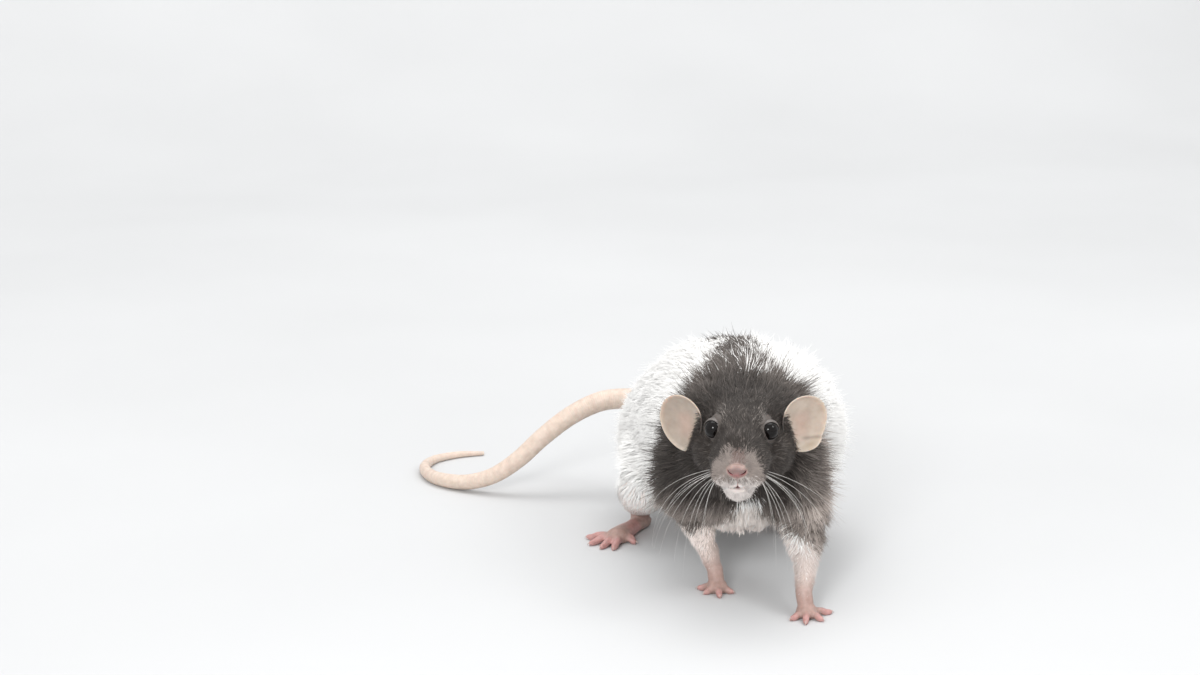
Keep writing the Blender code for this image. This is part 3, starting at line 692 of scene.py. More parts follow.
@dataclass(frozen=True)
class PlainFinish:
    """One slightly mottled colour, for small parts; spots are in millimetres."""

    name: str
    colour: tuple[float, float, float]
    roughness: float
    gloss: float = 0.0
    spots: float = 0.6
    shine: float = 0.5
    dark: float = 0.82

    def make(self) -> bpy.types.Material:
        """Builds the material."""
        g = Graph(self.name)
        colour = g.blend(g.noise(self.spots), tuple(c * self.dark for c in self.colour), self.colour)
        return g.set(
            Base_Color=colour, Roughness=self.roughness, Coat_Weight=self.gloss, Coat_Roughness=0.03,
            Specular_IOR_Level=self.shine,
        )


@dataclass(frozen=True)
class TailFinish:
    """Scaly, thinly haired tail skin with rings that the mesh carries."""

    name: str = "tail_skin"
    dark: tuple = (0.88, 0.84, 0.82)
    light: tuple = (1.08, 1.05, 1.04)
    blood: tuple = (0.9, 0.35, 0.22)

    def make(self) -> bpy.types.Material:
        """Builds the material."""
        g = Graph(self.name)
        colour = g.mottled(g.noise(2.4, 4.0), 0.3, self.dark, self.light)
        return g.set(
            Base_Color=colour, Roughness=0.5, Normal=g.bump(g.cells(0.6), 0.35, 0.12),
            Subsurface_Weight=0.12, Subsurface_Radius=self.blood, Subsurface_Scale=0.0012,
        )


@dataclass(frozen=True)
class Markings:
    """Depth, lie and colours of the coat at any place on the rat.

    The tables give a value, in the second row, against a place in millimetres, in the first.
    """

    place: Placement
    hood: tuple = (0.095, 0.080, 0.071)
    hood_tip: tuple = (0.31, 0.272, 0.248)
    shade: tuple = (0.030, 0.023, 0.019)
    white: tuple = (0.95, 0.945, 0.93)
    muzzle: tuple = (0.29, 0.248, 0.225)
    lip: tuple = (0.76, 0.70, 0.67)
    chin: tuple = (0.70, 0.65, 0.625)
    grey: tuple = (0.26, 0.232, 0.212)
    nose_bridge: tuple = (0.18, 0.128, 0.114)
    pink: tuple = (0.34, 0.235, 0.205)
    toe_pink: tuple = (0.45, 0.255, 0.24)
    flesh: tuple = (0.52, 0.445, 0.41)
    arm: tuple = (0.68, 0.60, 0.565)
    # Breast: the white coat darkened and warmed as painted shade over the chest, which lies out of the key
    # light.
    breast: tuple = (0.70, 0.64, 0.60)
    horn: tuple = (0.43, 0.27, 0.25)
    body_depth: float = 4.4
    sleek_depth: float = 3.0
    head_depth: tuple = ((-30, -24, -14, 0, 10, 22, 34), (0.25, 0.45, 0.75, 1.0, 1.8, 3.2, 4.4))
    leg_depth: tuple = ((7, 10, 14, 20, 27, 34, 44), (0, 0.12, 0.45, 0.9, 1.9, 3.2, 4.4))
    tail_root: tuple = (-9.5, 86, 40)
    hood_edge: float = -33.0
    blaze_middle: float = -5.6
    blaze_width: tuple = ((28, 33, 36, 42, 50), (8, 4.8, 3.5, 2.7, 2.0))
    stripe_middle: tuple = ((-44, -22, 5, 48, 85), (-4, -4, 5.5, 2, -9))
    stripe_half: tuple = ((-44, -30, -12, 5), (16, 12.5, 8.5, 5.5))
    spine: tuple = ((-100, -60, 5, 88), (-14, -9, 6, -10))
    spine_height: float = 52.0

    def head_weight(self, h: np.ndarray) -> np.ndarray:
        """1 on the head, 0 from the neck back and below the chin."""
        return smooth(34, 18, h[:, 1]) * smooth(-36, -27, h[:, 2])

    def leg_distance(self, p: np.ndarray) -> np.ndarray:
        """Distance in millimetres from the nearest leg's middle line."""
        best = np.full(len(p), 1e9)
        for path in LEGS.values():
            for a, b in zip(path, path[1:]):
                a, b = np.array(a, float), np.array(b, float)
                t = np.clip((p - a) @ (b - a) / ((b - a) @ (b - a)), 0, 1)
                best = np.minimum(best, np.linalg.norm(p - a - t[:, None] * (b - a), axis=1))
        return best

    def depth(self, world: np.ndarray) -> np.ndarray:
        """How far the skin lies under the coat's outline, in millimetres."""
        p, h = self.place.to_rat(world), self.place.to_head(world)
        deep = self.sleek_depth + (self.body_depth - self.sleek_depth) * smooth(-14, -30, p[:, 1])
        head = along(self.head_depth, h[:, 1])
        head += 0.8 * smooth(-13, -19, h[:, 2]) * smooth(-8, 4, h[:, 1])
        eye = np.sqrt((np.abs(h[:, 0]) - 9.9) ** 2 + (h[:, 1] + 0.4) ** 2 + h[:, 2] ** 2)
        head *= 1 - 0.85 * smooth(6.6, 4.4, eye)
        leg = along(self.leg_depth, p[:, 2])
        near = smooth(17, 10, self.leg_distance(p))
        body = near * leg + (1 - near) * np.maximum(leg, 2.4 * smooth(10, 16, p[:, 2]))
        body = body * (0.35 + 0.65 * smooth(6, 20, np.linalg.norm(p - np.array(self.tail_root), axis=1)))
        w = self.head_weight(h)
        return w * np.minimum(head, deep) + (1 - w) * np.minimum(body, deep)

    def masks(self, world: np.ndarray) -> dict[str, np.ndarray]:
        """How much of each marking lies at each place, from 0 to 1."""
        p, h = self.place.to_rat(world), self.place.to_head(world)
        nose = smooth(1.25, 0.95, nose_gap(h[:, 0], h[:, 2])) * smooth(-21, -23, h[:, 1])
        return {
            **self.body_masks(p, h), **self.face_masks(p, h), **self.eye_masks(h), **self.toe_masks(p),
            "bare": np.maximum(smooth(9.5, 7.0, p[:, 2]), nose),
            "fade": np.maximum(smooth(17, 6.5, p[:, 2]), nose),
        }

    def body_masks(self, p: np.ndarray, h: np.ndarray) -> dict[str, np.ndarray]:
        """Dark hood with a wavy foot and a pale blaze, grizzled stripe along the spine, breast, which takes
        painted shade, and legs.
        """
        x, y, z = p.T
        on_head = self.head_weight(h)
        wobble = 2.4 * ripple(p, 12, 3) + 1.0 * ripple(p, 4, 4)
        edge = self.hood_edge - 5.0 * smooth(0, 24, x) + 3.0 * smooth(-14, -34, x) - 5.0 * bell(x, 10)
        edge = edge + wobble
        foot = along(HOOD_FOOT, x) * smooth(-22, -32, y) + 24.5 * smooth(-32, -22, y) + 0.6 * wobble
        hood = smooth(2.5, -2.5, y - edge) * smooth(foot - 3, foot + 3, z)
        width = along(self.blaze_width, z) + 0.25 * wobble
        blaze = smooth(width + 2.0, width - 2.0, np.abs(x - self.blaze_middle))
        blaze = blaze * smooth(-24, -34, y) * smooth(60, 54, z)
        blaze = blaze * (1 - smooth(-29, -25.5, h[:, 2]) * smooth(24, 16, h[:, 1]))
        half = along(self.stripe_half, y)
        aside = np.abs(x - along(self.stripe_middle, y)) + 0.8 * wobble
        stripe = smooth(half + 3, half - 2, aside) * smooth(-42, -36, y) * smooth(40, 48, z)
        stripe = stripe * (0.70 + 0.26 * smooth(0.75 * half, 0.3 * half, aside)) * smooth(86, 66, y)
        breast = smooth(-24, -34, y) * smooth(62, 50, z) * smooth(15, 20, z) * smooth(19, 13, np.abs(x + 5))
        leg = smooth(30, 19, z) * (1 - 0.6 * smooth(-10, 0, y))
        return {"hood": np.maximum(hood * (1 - blaze), stripe), "breast": breast * (1 - on_head), "leg": leg,
                "head": on_head}

    def face_masks(self, p: np.ndarray, h: np.ndarray) -> dict[str, np.ndarray]:
        """Light muzzle, pale lips and chin, and the dusky bridge and short pink strip over the nose."""
        x, y, z = np.abs(h[:, 0]), h[:, 1], h[:, 2]
        on_head = self.head_weight(h)
        grain = ripple(p, 4, 4) + 0.6 * ripple(p, 1.8, 5)
        side = smooth(-6.5, -15.5, y - 0.28 * np.maximum(z + 7, -3) + 0.8 * grain)
        side = side * smooth(1.9, -2.3, z + 1.3 + 0.10 * x**2 + 0.6 * grain)
        side = side * smooth(11.2, 7.4, x + 0.5 * grain)
        tip = smooth(-19.5, -23.5, y) * smooth(5.5, 2.0, x)
        lip = smooth(-9.8, -13.2, z + 0.4 * grain) * smooth(-9, -15, y) * smooth(9.2, 5.0, x)
        chin = smooth(-15.8, -17.0, z) * smooth(-5, -10, y) * smooth(8.2, 5.2, x + 0.3 * grain)
        bridge = smooth(4.2, 1.0, x) * smooth(-23.5, -20.5, y) * smooth(-12.5, -16, y) * smooth(-9, -4, z)
        above = 0.8 * smooth(2.9, 1.3, x) * smooth(-8.0, -6.0, z) * smooth(-1.4, -3.2, z)
        above = above * smooth(-20, -22.5, y)
        return {"muzzle": np.maximum(side, tip) * on_head, "lip": lip * on_head, "chin": chin * on_head,
                "bridge": 0.8 * (bridge * on_head), "above": above * on_head}

    def eye_masks(self, h: np.ndarray) -> dict[str, np.ndarray]:
        """Pale hairs round the eyes, lighter ones over the brows as a painted highlight, and dark ones below
        the eyes as painted shade in the hollows there.
        """
        x, y, z = np.abs(h[:, 0]), h[:, 1], h[:, 2]
        on_head = self.head_weight(h)
        # Painted highlight: lighter hairs over the brows, where they catch the light.
        brow_highlight = np.exp(-((x - 7.2) ** 2 + (z - 4.6) ** 2) / 6.0) * smooth(6, 1, y)
        near = np.sqrt((x - EYE_CENTRE[0]) ** 2 + (y - EYE_CENTRE[1]) ** 2 + z**2)
        pale = np.maximum(0.35 * brow_highlight, 0.8 * smooth(5.1, 4.2, near))
        # Painted shade in the hollows below the eyes.
        under_eye_shade = np.exp(-((x - 9.5) ** 2 + (z + 6.4) ** 2) / 18.0) * smooth(-14, -8, y)
        return {"pale": 0.8 * pale * on_head, "under_eye_shade": 0.8 * under_eye_shade * on_head}

    def toe_masks(self, p: np.ndarray) -> dict[str, np.ndarray]:
        """Pink toes and the roots of their claws."""
        x, y, z = p.T
        toe, claw = np.zeros(len(p)), np.zeros(len(p))
        for palm, tips in PAWS.values():
            gap = np.hypot(x - palm[0], y - palm[1])
            toe = np.maximum(toe, smooth(3.5, 7.5, gap) * smooth(17, 14, gap))
            for tip in tips:
                reach = math.hypot(tip[0] - palm[0], tip[1] - palm[1])
                near = np.hypot(x - tip[0], y - tip[1]) < 3
                claw = np.maximum(claw, near * smooth(reach + 1.3, reach + 1.7, gap))
        return {"toe": toe * smooth(7, 4.5, z), "claw": claw * smooth(7, 4.5, z)}

    def skin_colours(self, world: np.ndarray) -> np.ndarray:
        """Colours of the skin under the coat."""
        m = self.masks(world)
        colour = np.array(self.white) * 0.86 * np.ones((len(world), 1))
        # The breast layer gives the skin under the chest the same painted shade as its tufts.
        layers = (
            ("breast", self.breast, 1.0), ("leg", self.flesh, 1.0), ("hood", self.hood, 0.75),
            ("muzzle", self.muzzle, 0.85), ("lip", self.lip, 1.0), ("chin", self.chin, 0.9),
            ("bridge", self.shade, 1.2), ("above", self.nose_bridge, 1.0), ("fade", self.pink, 1.0),
            ("toe", self.toe_pink, 1.0), ("claw", self.horn, 1.0),
        )
        for key, tone, strength in layers:
            colour = cover(colour, np.array(tone) * strength, m[key])
        return colour

    def tuft_colours(self, world: np.ndarray, rng: np.random.Generator) -> tuple[np.ndarray, np.ndarray]:
        """Root and tip colours: each tuft takes one marking's colour, chosen by the masks.

        Args:
            world: the tufts' roots.
            rng: seeded source of chance.

        Returns:
            Root colours and tip colours.
        """
        m = self.masks(world)
        n = len(world)
        p = self.place.to_rat(world)
        root = np.array(self.white) * 0.92 * np.ones((n, 1))
        tip = np.array(self.white) * rng.uniform(0.92, 1.05, (n, 1))
        dark = rng.random(n) < m["hood"]
        patches = 0.42 + 0.22 * ripple(p, 9, 8) + 0.12 * ripple(p, 2.5, 9)
        tone = np.clip(patches + rng.normal(0, 0.25, n), 0, 1)[:, None]
        spread = 1 + m["head"] * (rng.lognormal(-0.12, 0.5, n) - 1)
        # The hood's tip tone carries painted light on the rat's left side and painted shade on its right.
        light = (self.hood_light(world, m["head"]) * spread)[:, None]
        hood_tip = (np.array(self.hood) * (1 - tone) + np.array(self.hood_tip) * tone) * light
        breast = rng.random(n) < 0.9 * m["breast"]
        # Painted shade over the chest: the white coat darkened to the breast colour, less so low down.
        front = np.array(self.breast) * (1 + 0.3 * smooth(34, 26, p[:, 2]))[:, None]
        root[breast] = front[breast] * 0.9
        tip[breast] = (front * rng.uniform(0.95, 1.12, (n, 1)))[breast]
        leg = rng.random(n) < 0.97 * m["leg"]
        # Painted light: the rat's right arm, which lies in the body's shade, is lightened.
        arm = np.array(self.arm) * (1 + 0.42 * smooth(0, -10, p[:, 0]))[:, None]
        skin_tone = cover(arm, np.array(self.pink) * 1.15, smooth(17, 8, p[:, 2]))
        root[leg] = skin_tone[leg] * 0.9
        tip[leg] = (skin_tone * rng.uniform(0.95, 1.12, (n, 1)))[leg]
        root[dark] = np.array(self.shade)
        tip[dark] = hood_tip[dark]
        # Below the eyes the tufts take painted shade; over the brows the pale tufts are a painted highlight.
        layers = (
            ("pale", self.grey), ("under_eye_shade", self.shade), ("muzzle", self.muzzle), ("lip", self.lip),
            ("chin", self.chin), ("bridge", self.shade), ("above", self.nose_bridge),
        )
        for key, colour in layers:
            chosen = rng.random(n) < m[key]
            root[chosen] = np.array(colour) * 0.7
            tip[chosen] = np.array(colour) * rng.uniform(0.74, 1.22, (n, 1))[chosen]
        return root, tip

    def hood_light(self, world: np.ndarray, head: np.ndarray) -> np.ndarray:
        """How light the hood's tips are: dark on head and nape and greyer low down, with painted light on the
        rat's left side, which faces the key lamp, and painted shade on its right side and on the lower right
        of its face.

        Args:
            world: the tufts' roots.
            head: how much of each lies on the head.

        Returns:
            A factor on the tips' colour.
        """
        p, h = self.place.to_rat(world), self.place.to_head(world)
        x, _, z = p.T
        body = 1 - head
        light = 1 - 0.66 * head - 0.30 * smooth(70, 84, z) * body
        light = light + 0.40 * smooth(52, 34, z) * body
        # Painted shade: the lower right side of the face is darkened.
        light = light * (1 - 0.26 * head * smooth(-3, -9, h[:, 0]) * smooth(2, -3, h[:, 2]))
        # Painted light: the rat's left side, toward the key lamp, is lightened, most of all high up.
        lit = 0.9 * smooth(30, 40, z) + 0.35
        left = 1 + lit * smooth(8, 22, x) * smooth(-4, -12, h[:, 2])
        # Painted shade: the upper right side of the body is darkened.
        right = 1 + body * (-0.35 * smooth(-16, -28, x) * smooth(38, 48, z))
        return light * left * right

    def flow(self, world: np.ndarray, normal: np.ndarray) -> np.ndarray:
        """Unit direction along the skin in which the hair lies: back over the body, down breast and legs.

        Args:
            world: places on the skin.
            normal: the skin's normals there.

        Returns:
            One direction for each place.
        """
        p, h = self.place.to_rat(world), self.place.to_head(world)
        body = np.tile((0.0, 1.0, -0.30), (len(p), 1))
        body[:, 0] = 0.012 * (p[:, 0] - 2)
        body[:, 2] -= 0.35 * smooth(60, 30, p[:, 2])
        body = cover(body, (0.0, 0.15, -1.0), smooth(-46, -54, p[:, 1]))
        body = cover(body, (0.0, 0.25, -1.0), smooth(13, 8, self.leg_distance(p)) * smooth(36, 27, p[:, 2]))
        face = unit(h - np.array((0.0, -37.0, -6.5)))
        face[:, 2] -= 0.25 * smooth(-2, -10, h[:, 2]) * smooth(-20, -6, h[:, 1])
        face = face @ self.place.head_turn().T
        lie = cover(unit(body), unit(face), smooth(44, 22, h[:, 1]) * smooth(-38, -26, h[:, 2]))
        lie = unit(along_skin(lie, normal))
        swirl = 0.26 * ripple(p, 7, 21) + 0.16 * ripple(p, 2.6, 22)
        return unit(lie + np.cross(normal, lie) * swirl[:, None])

    def bake_place(self, world: np.ndarray) -> np.ndarray:
        """Place on an unwrap of the skin: the body's tube below, the four legs' tubes above."""
        p = self.place.to_rat(world)
        aside, above = p[:, 0] - along(self.spine, p[:, 1]), p[:, 2] - self.spine_height
        round_body = np.arctan2(aside, above) / (2 * math.pi)
        uv = np.stack([round_body * 0.98 + 0.5, (p[:, 1] + 105) / 200 * 0.68 + 0.01], -1)
        for number, path in enumerate(LEGS.values()):
            knee, foot = np.array(path[1], float), np.array(path[-1], float)
            mine = (np.linalg.norm(p[:, :2] - foot[:2], axis=1) < 30) & (p[:, 2] < 16)
            mine &= np.sign(p[:, 0]) == np.sign(knee[0])
            angle = np.arctan2(p[:, 0] - foot[0], p[:, 1] - foot[1]) / (2 * math.pi) + 0.5
            height = np.clip(p[:, 2], 0, 16) / 16
            leg = np.stack([(number + 0.02 + 0.96 * angle) / 4, 0.72 + height * 0.26], -1)
            uv[mine] = leg[mine]
        return np.clip(uv, 0.0, 1.0)


@dataclass
class Skin:
    """One closed skin in place of the nodes of flesh."""

    place: Placement
    markings: Markings
    voxel: float = 0.42
    quick_voxel: float = 0.75
    bridge: float = 0.2
    toe_fill: float = 0.12
    toe_rings: int = 18
    toe_sides: int = 10
    toe_longer: float = 1.1
    toe_end: float = 1.0
    toe_radius: tuple = ((0.22, 0.38, 0.5, 0.62, 0.78, 0.93, 1.0), (1.15, 1.25, 1.05, 1.28, 1.1, 1.2, 0.8))
    toe_height: tuple = ((0.22, 0.5, 0.8, 1.0), (2.6, 2.2, 1.45, 1.15))
    foretoe_size: float = 0.9
    toe_tip_reach: float = 3.6
    toe_tip_left: float = 0.2
    paw_height: float = 8.0
    paw_softness: float = 0.4
    breast_sink: float = 2.8
    back_sink: float = 2.2
    hind_toe_shift: float = 2.8
    web_shift: float = 2.4
    elbow_shift: float = 1.7
    triangles: int = 165000
    fine_steps: int = 10

    def merged(self) -> bpy.types.Object:
        """Joins copies of the nodes of flesh, each pushed out to close the gaps between them."""
        shells = []
        for name in FLESH:
            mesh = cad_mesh(name)
            shells.append((coordinates(mesh) + normals(mesh) * self.bridge * MM, loop_triangles(mesh)))
        shells += self.toes()
        starts = np.cumsum([0] + [len(corners) for corners, _ in shells])
        triangles = np.vstack([index + start for (_, index), start in zip(shells, starts)])
        return mesh_object("skin", np.vstack([corners for corners, _ in shells]), triangles)

    def toes(self) -> list[tuple[np.ndarray, np.ndarray]]:
        """Round-tipped toes with knuckles that fill out those of the paws."""
        found = []
        share = np.linspace(self.toe_radius[0][0], 1.0, self.toe_rings)
        for name, (palm, tips) in PAWS.items():
            size = 1.0 if name.startswith("hind") else self.foretoe_size
            for tip in tips:
                way = np.array(tip) - np.array(palm)
                way = way * (1 + self.toe_longer / np.linalg.norm(way))
                rise = size * along(self.toe_height, share)
                path = np.column_stack([np.array(palm)[None] + way[None] * share[:, None], rise])
                corners, index = sweep(path, size * along(self.toe_radius, share), self.toe_sides)
                corners = self.place.from_rat(corners)
                found.append((corners, outward(corners, index)))
        return found

    def build(self) -> bpy.types.Object:
        """Fuses, smooths, sinks by the coat's depth, thins and dresses the skin."""
        obj = self.merged()
        fuse = obj.modifiers.new("Fuse", "REMESH")
        fuse.mode = "VOXEL"
        fuse.voxel_size = self.voxel * MM
        applied(obj)
        self.smooth_over(obj)
        world = coordinates(obj.data)
        move_corners(obj, self.sunk(world, normals(obj.data)))
        self.thin_out(obj, self.fineness(world))
        self.keep_largest(obj)
        obj.data.polygons.foreach_set("use_smooth", np.ones(len(obj.data.polygons), bool))
        world = coordinates(obj.data)
        set_colours(obj, self.markings.skin_colours(world))
        set_bake_map(obj, self.markings.bake_place(world))
        obj.data.materials.append(SkinFinish().make())
        return obj

    def smooth_over(self, obj: bpy.types.Object) -> None:
        """Evens out the joints between the nodes, less so at the paws."""
        soft = obj.vertex_groups.new(name="soft")
        paw = self.place.to_rat(coordinates(obj.data))[:, 2] < self.paw_height
        soft.add(np.nonzero(~paw)[0].tolist(), 1.0, "REPLACE")
        soft.add(np.nonzero(paw)[0].tolist(), self.paw_softness, "REPLACE")
        even = obj.modifiers.new("Even", "SMOOTH")
        even.factor, even.iterations, even.vertex_group = 0.5, 6, "soft"
        applied(obj)
        obj.vertex_groups.clear()

    def sunk(self, world: np.ndarray, normal: np.ndarray) -> np.ndarray:
        """Corners moved in by the coat's depth, with belly, elbows and toes brought to their own shape."""
        p = self.place.to_rat(world)
        x, y, z = p.T
        sink = self.markings.depth(world) + self.bridge
        breast = self.breast_sink * smooth(33, 23, z) * smooth(10, 4, np.abs(x + 6)) * smooth(-20, -30, y)
        sink += breast * smooth(15, 19, z)
        sink -= self.toe_fill * smooth(7.5, 5.0, z)
        sink += self.back_sink * smooth(78, 86, z)
        moved = world - normal * sink[:, None] * MM
        hind_toe = smooth(31, 27, x) * smooth(20, 24, x) * smooth(9, 6, z) * smooth(4, 10, y)
        moved[:, 0] += self.hind_toe_shift * MM * hind_toe * smooth(34, 28, y)
        web = bell(z - 25, 6) * smooth(17, 13, x) * smooth(3, 8, x) * smooth(-42, -50, y)
        moved[:, 0] -= self.web_shift * MM * web
        elbow = bell(z - 22, 6) * smooth(-20, -15, x) * smooth(-7, -11, x) * smooth(-20, -26, y)
        moved[:, 0] += self.elbow_shift * MM * elbow
        return self.rounded_toes(moved)

    def rounded_toes(self, world: np.ndarray) -> np.ndarray:
        """Draws the points beyond the toes' tips back, so that the claws stand out of round ends."""
        p = self.place.to_rat(world)
        for palm, tips in PAWS.values():
            way = p[:, :2] - np.array(palm)
            gap = np.linalg.norm(way, axis=1)
            for tip in tips:
                end = math.hypot(tip[0] - palm[0], tip[1] - palm[1]) + self.toe_end
                beside = np.hypot(p[:, 0] - tip[0], p[:, 1] - tip[1]) < self.toe_tip_reach
                near = beside & (gap > end) & (p[:, 2] < self.paw_height)
                short = (end + self.toe_tip_left * (gap[near] - end)) / gap[near]
                p[near, :2] = np.array(palm) + way[near] * short[:, None]
        return self.place.from_rat(p)

    def fineness(self, world: np.ndarray) -> np.ndarray:
        """How far each place keeps its small faces: 1 on the face and the paws, 0 on the body."""
        p, h = self.place.to_rat(world), self.place.to_head(world)
        return np.maximum(self.markings.head_weight(h) * smooth(16, 8, h[:, 1]), smooth(14, 11, p[:, 2]))

    def thin_out(self, obj: bpy.types.Object, fine: np.ndarray) -> None:
        """Takes faces away down to the skin's share, mostly where fine is low."""
        group = obj.vertex_groups.new(name="free")
        for step in range(self.fine_steps):
            chosen = np.nonzero((fine * self.fine_steps).astype(int) == step)[0]
            group.add(chosen.tolist(), 1.0 - step / self.fine_steps, "REPLACE")
        relax = obj.modifiers.new("Relax", "SMOOTH")
        relax.factor, relax.iterations = 0.5, 3
        thin = obj.modifiers.new("Thin", "DECIMATE")
        thin.ratio = min(1.0, self.triangles / (2 * len(obj.data.polygons)))
        thin.vertex_group = "free"
        applied(obj)
        obj.vertex_groups.clear()

    def keep_largest(self, obj: bpy.types.Object) -> None:
        """Drops the small islands that the fusing leaves at thin tips."""
        edges = np.empty(len(obj.data.edges) * 2, np.int32)
        obj.data.edges.foreach_get("vertices", edges)
        a, b = edges.reshape(-1, 2).T
        label = np.arange(len(obj.data.vertices))
        while not np.array_equal(label[a], label[b]):
            low = np.minimum(label[a], label[b])
            np.minimum.at(label, a, low)
            np.minimum.at(label, b, low)
            label = label[label]
        body = np.bincount(label).argmax()
        work = bmesh.new()
        work.from_mesh(obj.data)
        work.verts.ensure_lookup_table()
        bmesh.ops.delete(work, geom=[work.verts[i] for i in np.nonzero(label != body)[0]], context="VERTS")
        work.to_mesh(obj.data)
        work.free()


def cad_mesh(name: str) -> bpy.types.Mesh:
    """Copy of a CAD node's mesh with its loose corners merged."""
    helper = linked("helper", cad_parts[name].data.copy())
    helper.modifiers.new("Weld", "WELD").merge_threshold = 1e-6
    mesh = applied(helper).data
    bpy.data.objects.remove(helper)
    return mesh


class CoatPart(Enum):
    """Stretches of the coat that are pieces of their own, in the order in which they are grown."""

    FACE = "face"
    HOOD = "hood"
    FLANK = "flank"
    RUMP = "rump"
    LEGS = "legs"


@dataclass
class Coat:
    """Tufts over the skin, in pieces that follow its markings."""

    skin: bpy.types.Object
    place: Placement
    markings: Markings
    seed: int = 7
    counts: dict = field(default_factory=lambda: {
        CoatPart.FACE: 52000, CoatPart.HOOD: 43000, CoatPart.FLANK: 32000, CoatPart.RUMP: 21000,
        CoatPart.LEGS: 14000,
    })
    most: int = 21000
    ear_count: int = 1500
    rump_start: float = 34.0
    hood_end: float = -22.0
    face_end: float = 17.0
    face_foot: float = -27.0
    leg_top: float = 22.0
    leg_reach: float = 13.0
    ear_depth: float = 0.8
    root_depth: float = 0.25
    lower_part: float = 0.48
    upper_part: float = 0.52
    waist: float = 0.8
    ridge: float = 0.30
    stray_length: float = 1.35
    stray_width: float = 0.5
    width_by_depth: tuple = ((0.2, 1.0, 2.5, 4.4), (0.16, 0.24, 0.34, 0.42))
    lean: tuple = (9.0, 68.0)
    faces: tuple = (
        (0, 1, 4), (0, 4, 3), (1, 2, 5), (1, 5, 4), (2, 0, 3), (2, 3, 5), (3, 4, 6), (4, 5, 6), (5, 3, 6),
    )
    tone_share: tuple = (0, 0, 0, 0.62, 0.62, 0.62, 1.0)
    patch: tuple = (
        (0, 0), (0.003, 0), (0.0015, 0.0004), (0, 0.0015), (0.003, 0.0015), (0.0015, 0.0019), (0.0015, 0.003),
    )

    def parts(self, world: np.ndarray) -> np.ndarray:
        """Number of the coat part at each place."""
        p, h = self.place.to_rat(world), self.place.to_head(world)
        face, hood, flank, rump, legs = range(len(CoatPart))
        number = np.full(len(p), flank)
        number[p[:, 1] > self.rump_start] = rump
        number[p[:, 1] < self.hood_end] = hood
        number[(h[:, 1] < self.face_end) & (h[:, 2] > self.face_foot)] = face
        number[(p[:, 2] < self.leg_top) & (self.markings.leg_distance(p) < self.leg_reach)] = legs
        return number

    def roots(self, part: int, count: int, rng: np.random.Generator) -> tuple[np.ndarray, np.ndarray]:
        """Evenly spread roots on one part of the skin.

        Args:
            part: the coat part's number.
            count: how many roots.
            rng: seeded source of chance.

        Returns:
            Places and normals.
        """
        tri = loop_triangles(self.skin.data)
        co, no = coordinates(self.skin.data), normals(self.skin.data)
        a, b, c = co[tri[:, 0]], co[tri[:, 1]], co[tri[:, 2]]
        middle = (a + b + c) / 3
        area = np.linalg.norm(np.cross(b - a, c - a), axis=1)
        total = np.cumsum(area * (self.parts(middle) == part) * self.density(middle))
        place = (np.arange(count) + rng.random(count)) / count * total[-1]
        chosen = np.minimum(np.searchsorted(total, place), len(tri) - 1)
        u, v = rng.random((2, count))
        over = u + v > 1
        u[over], v[over] = 1 - u[over], 1 - v[over]
        mix = np.stack([1 - u - v, u, v], -1)[..., None]
        return (co[tri[chosen]] * mix).sum(1), unit((no[tri[chosen]] * mix).sum(1))

    def eye_rim(self, h: np.ndarray) -> np.ndarray:
        """1 beside the eyes, 0 from a few millimetres off."""
        gap = np.hypot(np.hypot(np.abs(h[:, 0]) - EYE_CENTRE[0], h[:, 1] - EYE_CENTRE[1]), h[:, 2])
        return smooth(6.2, 4.4, gap)

    def ear_gap(self, h: np.ndarray, side: Side) -> tuple[np.ndarray, np.ndarray]:
        """Distance from the ear's hub, 1 at its rim, and height over its middle plane in millimetres."""
        ear = (h - np.array(ear_centre(side))) @ np.array(ear_turn(side))[:3, :3]
        return np.hypot(ear[:, 0] / EAR_WIDTH, ear[:, 2] / EAR_HEIGHT), ear[:, 1] - 0.5

    def density(self, world: np.ndarray) -> np.ndarray:
        """How closely the tufts stand, 0 where the skin is bare."""
        h, p = self.place.to_head(world), self.place.to_rat(world)
        x, y, z = h.T
        open_skin = np.ones(len(h))
        for side in Side:
            gap = np.linalg.norm(h - np.array(eye_centre(side)), axis=1)
            open_skin *= smooth(3.95, 4.2, gap) * (1 + 1.5 * smooth(5.2, 4.2, gap))
        for side in Side:
            disc, off = self.ear_gap(h, side)
            open_skin *= 1 - smooth(1.1, 0.95, disc) * smooth(2.6, 1.6, np.abs(off))
        nose = smooth(0.95, 1.1, np.hypot(x / 3.5, (z + 7.9) / 2.5) + 2 * smooth(-22, -20, y))
        cleft = 1 - smooth(0.6, 0.35, np.abs(x)) * smooth(-9, -9.6, z) * smooth(-17.5, -16.5, z)
        lips = 1 - smooth(0.75, 0.4, np.abs(z + 16.3)) * smooth(-15, -18, y)
        mouth = 1 - smooth(1.1, 0.8, np.hypot(x / 1.3, (z + 15.5) / 1.6)) * smooth(-15, -18, y)
        crowd = 1 + 1.8 * smooth(-6, -20, y) * smooth(-24, -20, z)
        front = 1 + 0.5 * smooth(0, -40, p[:, 1])
        bare = self.markings.masks(world)["bare"]
        return open_skin * (nose * cleft) * (lips * mouth) * crowd * front * (1 - bare)

    def build(self) -> list[bpy.types.Object]:
        """Grows every part's tufts."""
        pieces = []
        finish = HairFinish().make()
        rng = np.random.default_rng(self.seed)
        fewer = 1
        for number, (part, count) in enumerate(self.counts.items()):
            count //= fewer
            root, normal = self.roots(number, count, rng)
            order = np.argsort(root[:, 1], kind="stable")
            shares = max(1, math.ceil(count / self.most))
            for share, chosen in enumerate(np.array_split(order, shares)):
                name = f"coat_{part.value}_{share + 1}"
                pieces.append(self.tufts(name, root[chosen], normal[chosen], rng, finish))
        for side in Side:
            root, normal, lie = Ear(self.place, side).fur_roots(self.ear_count // fewer, rng)
            pieces.append(self.tufts(f"coat_ear_{side.word}", root, normal, rng, finish, lie))
        return pieces

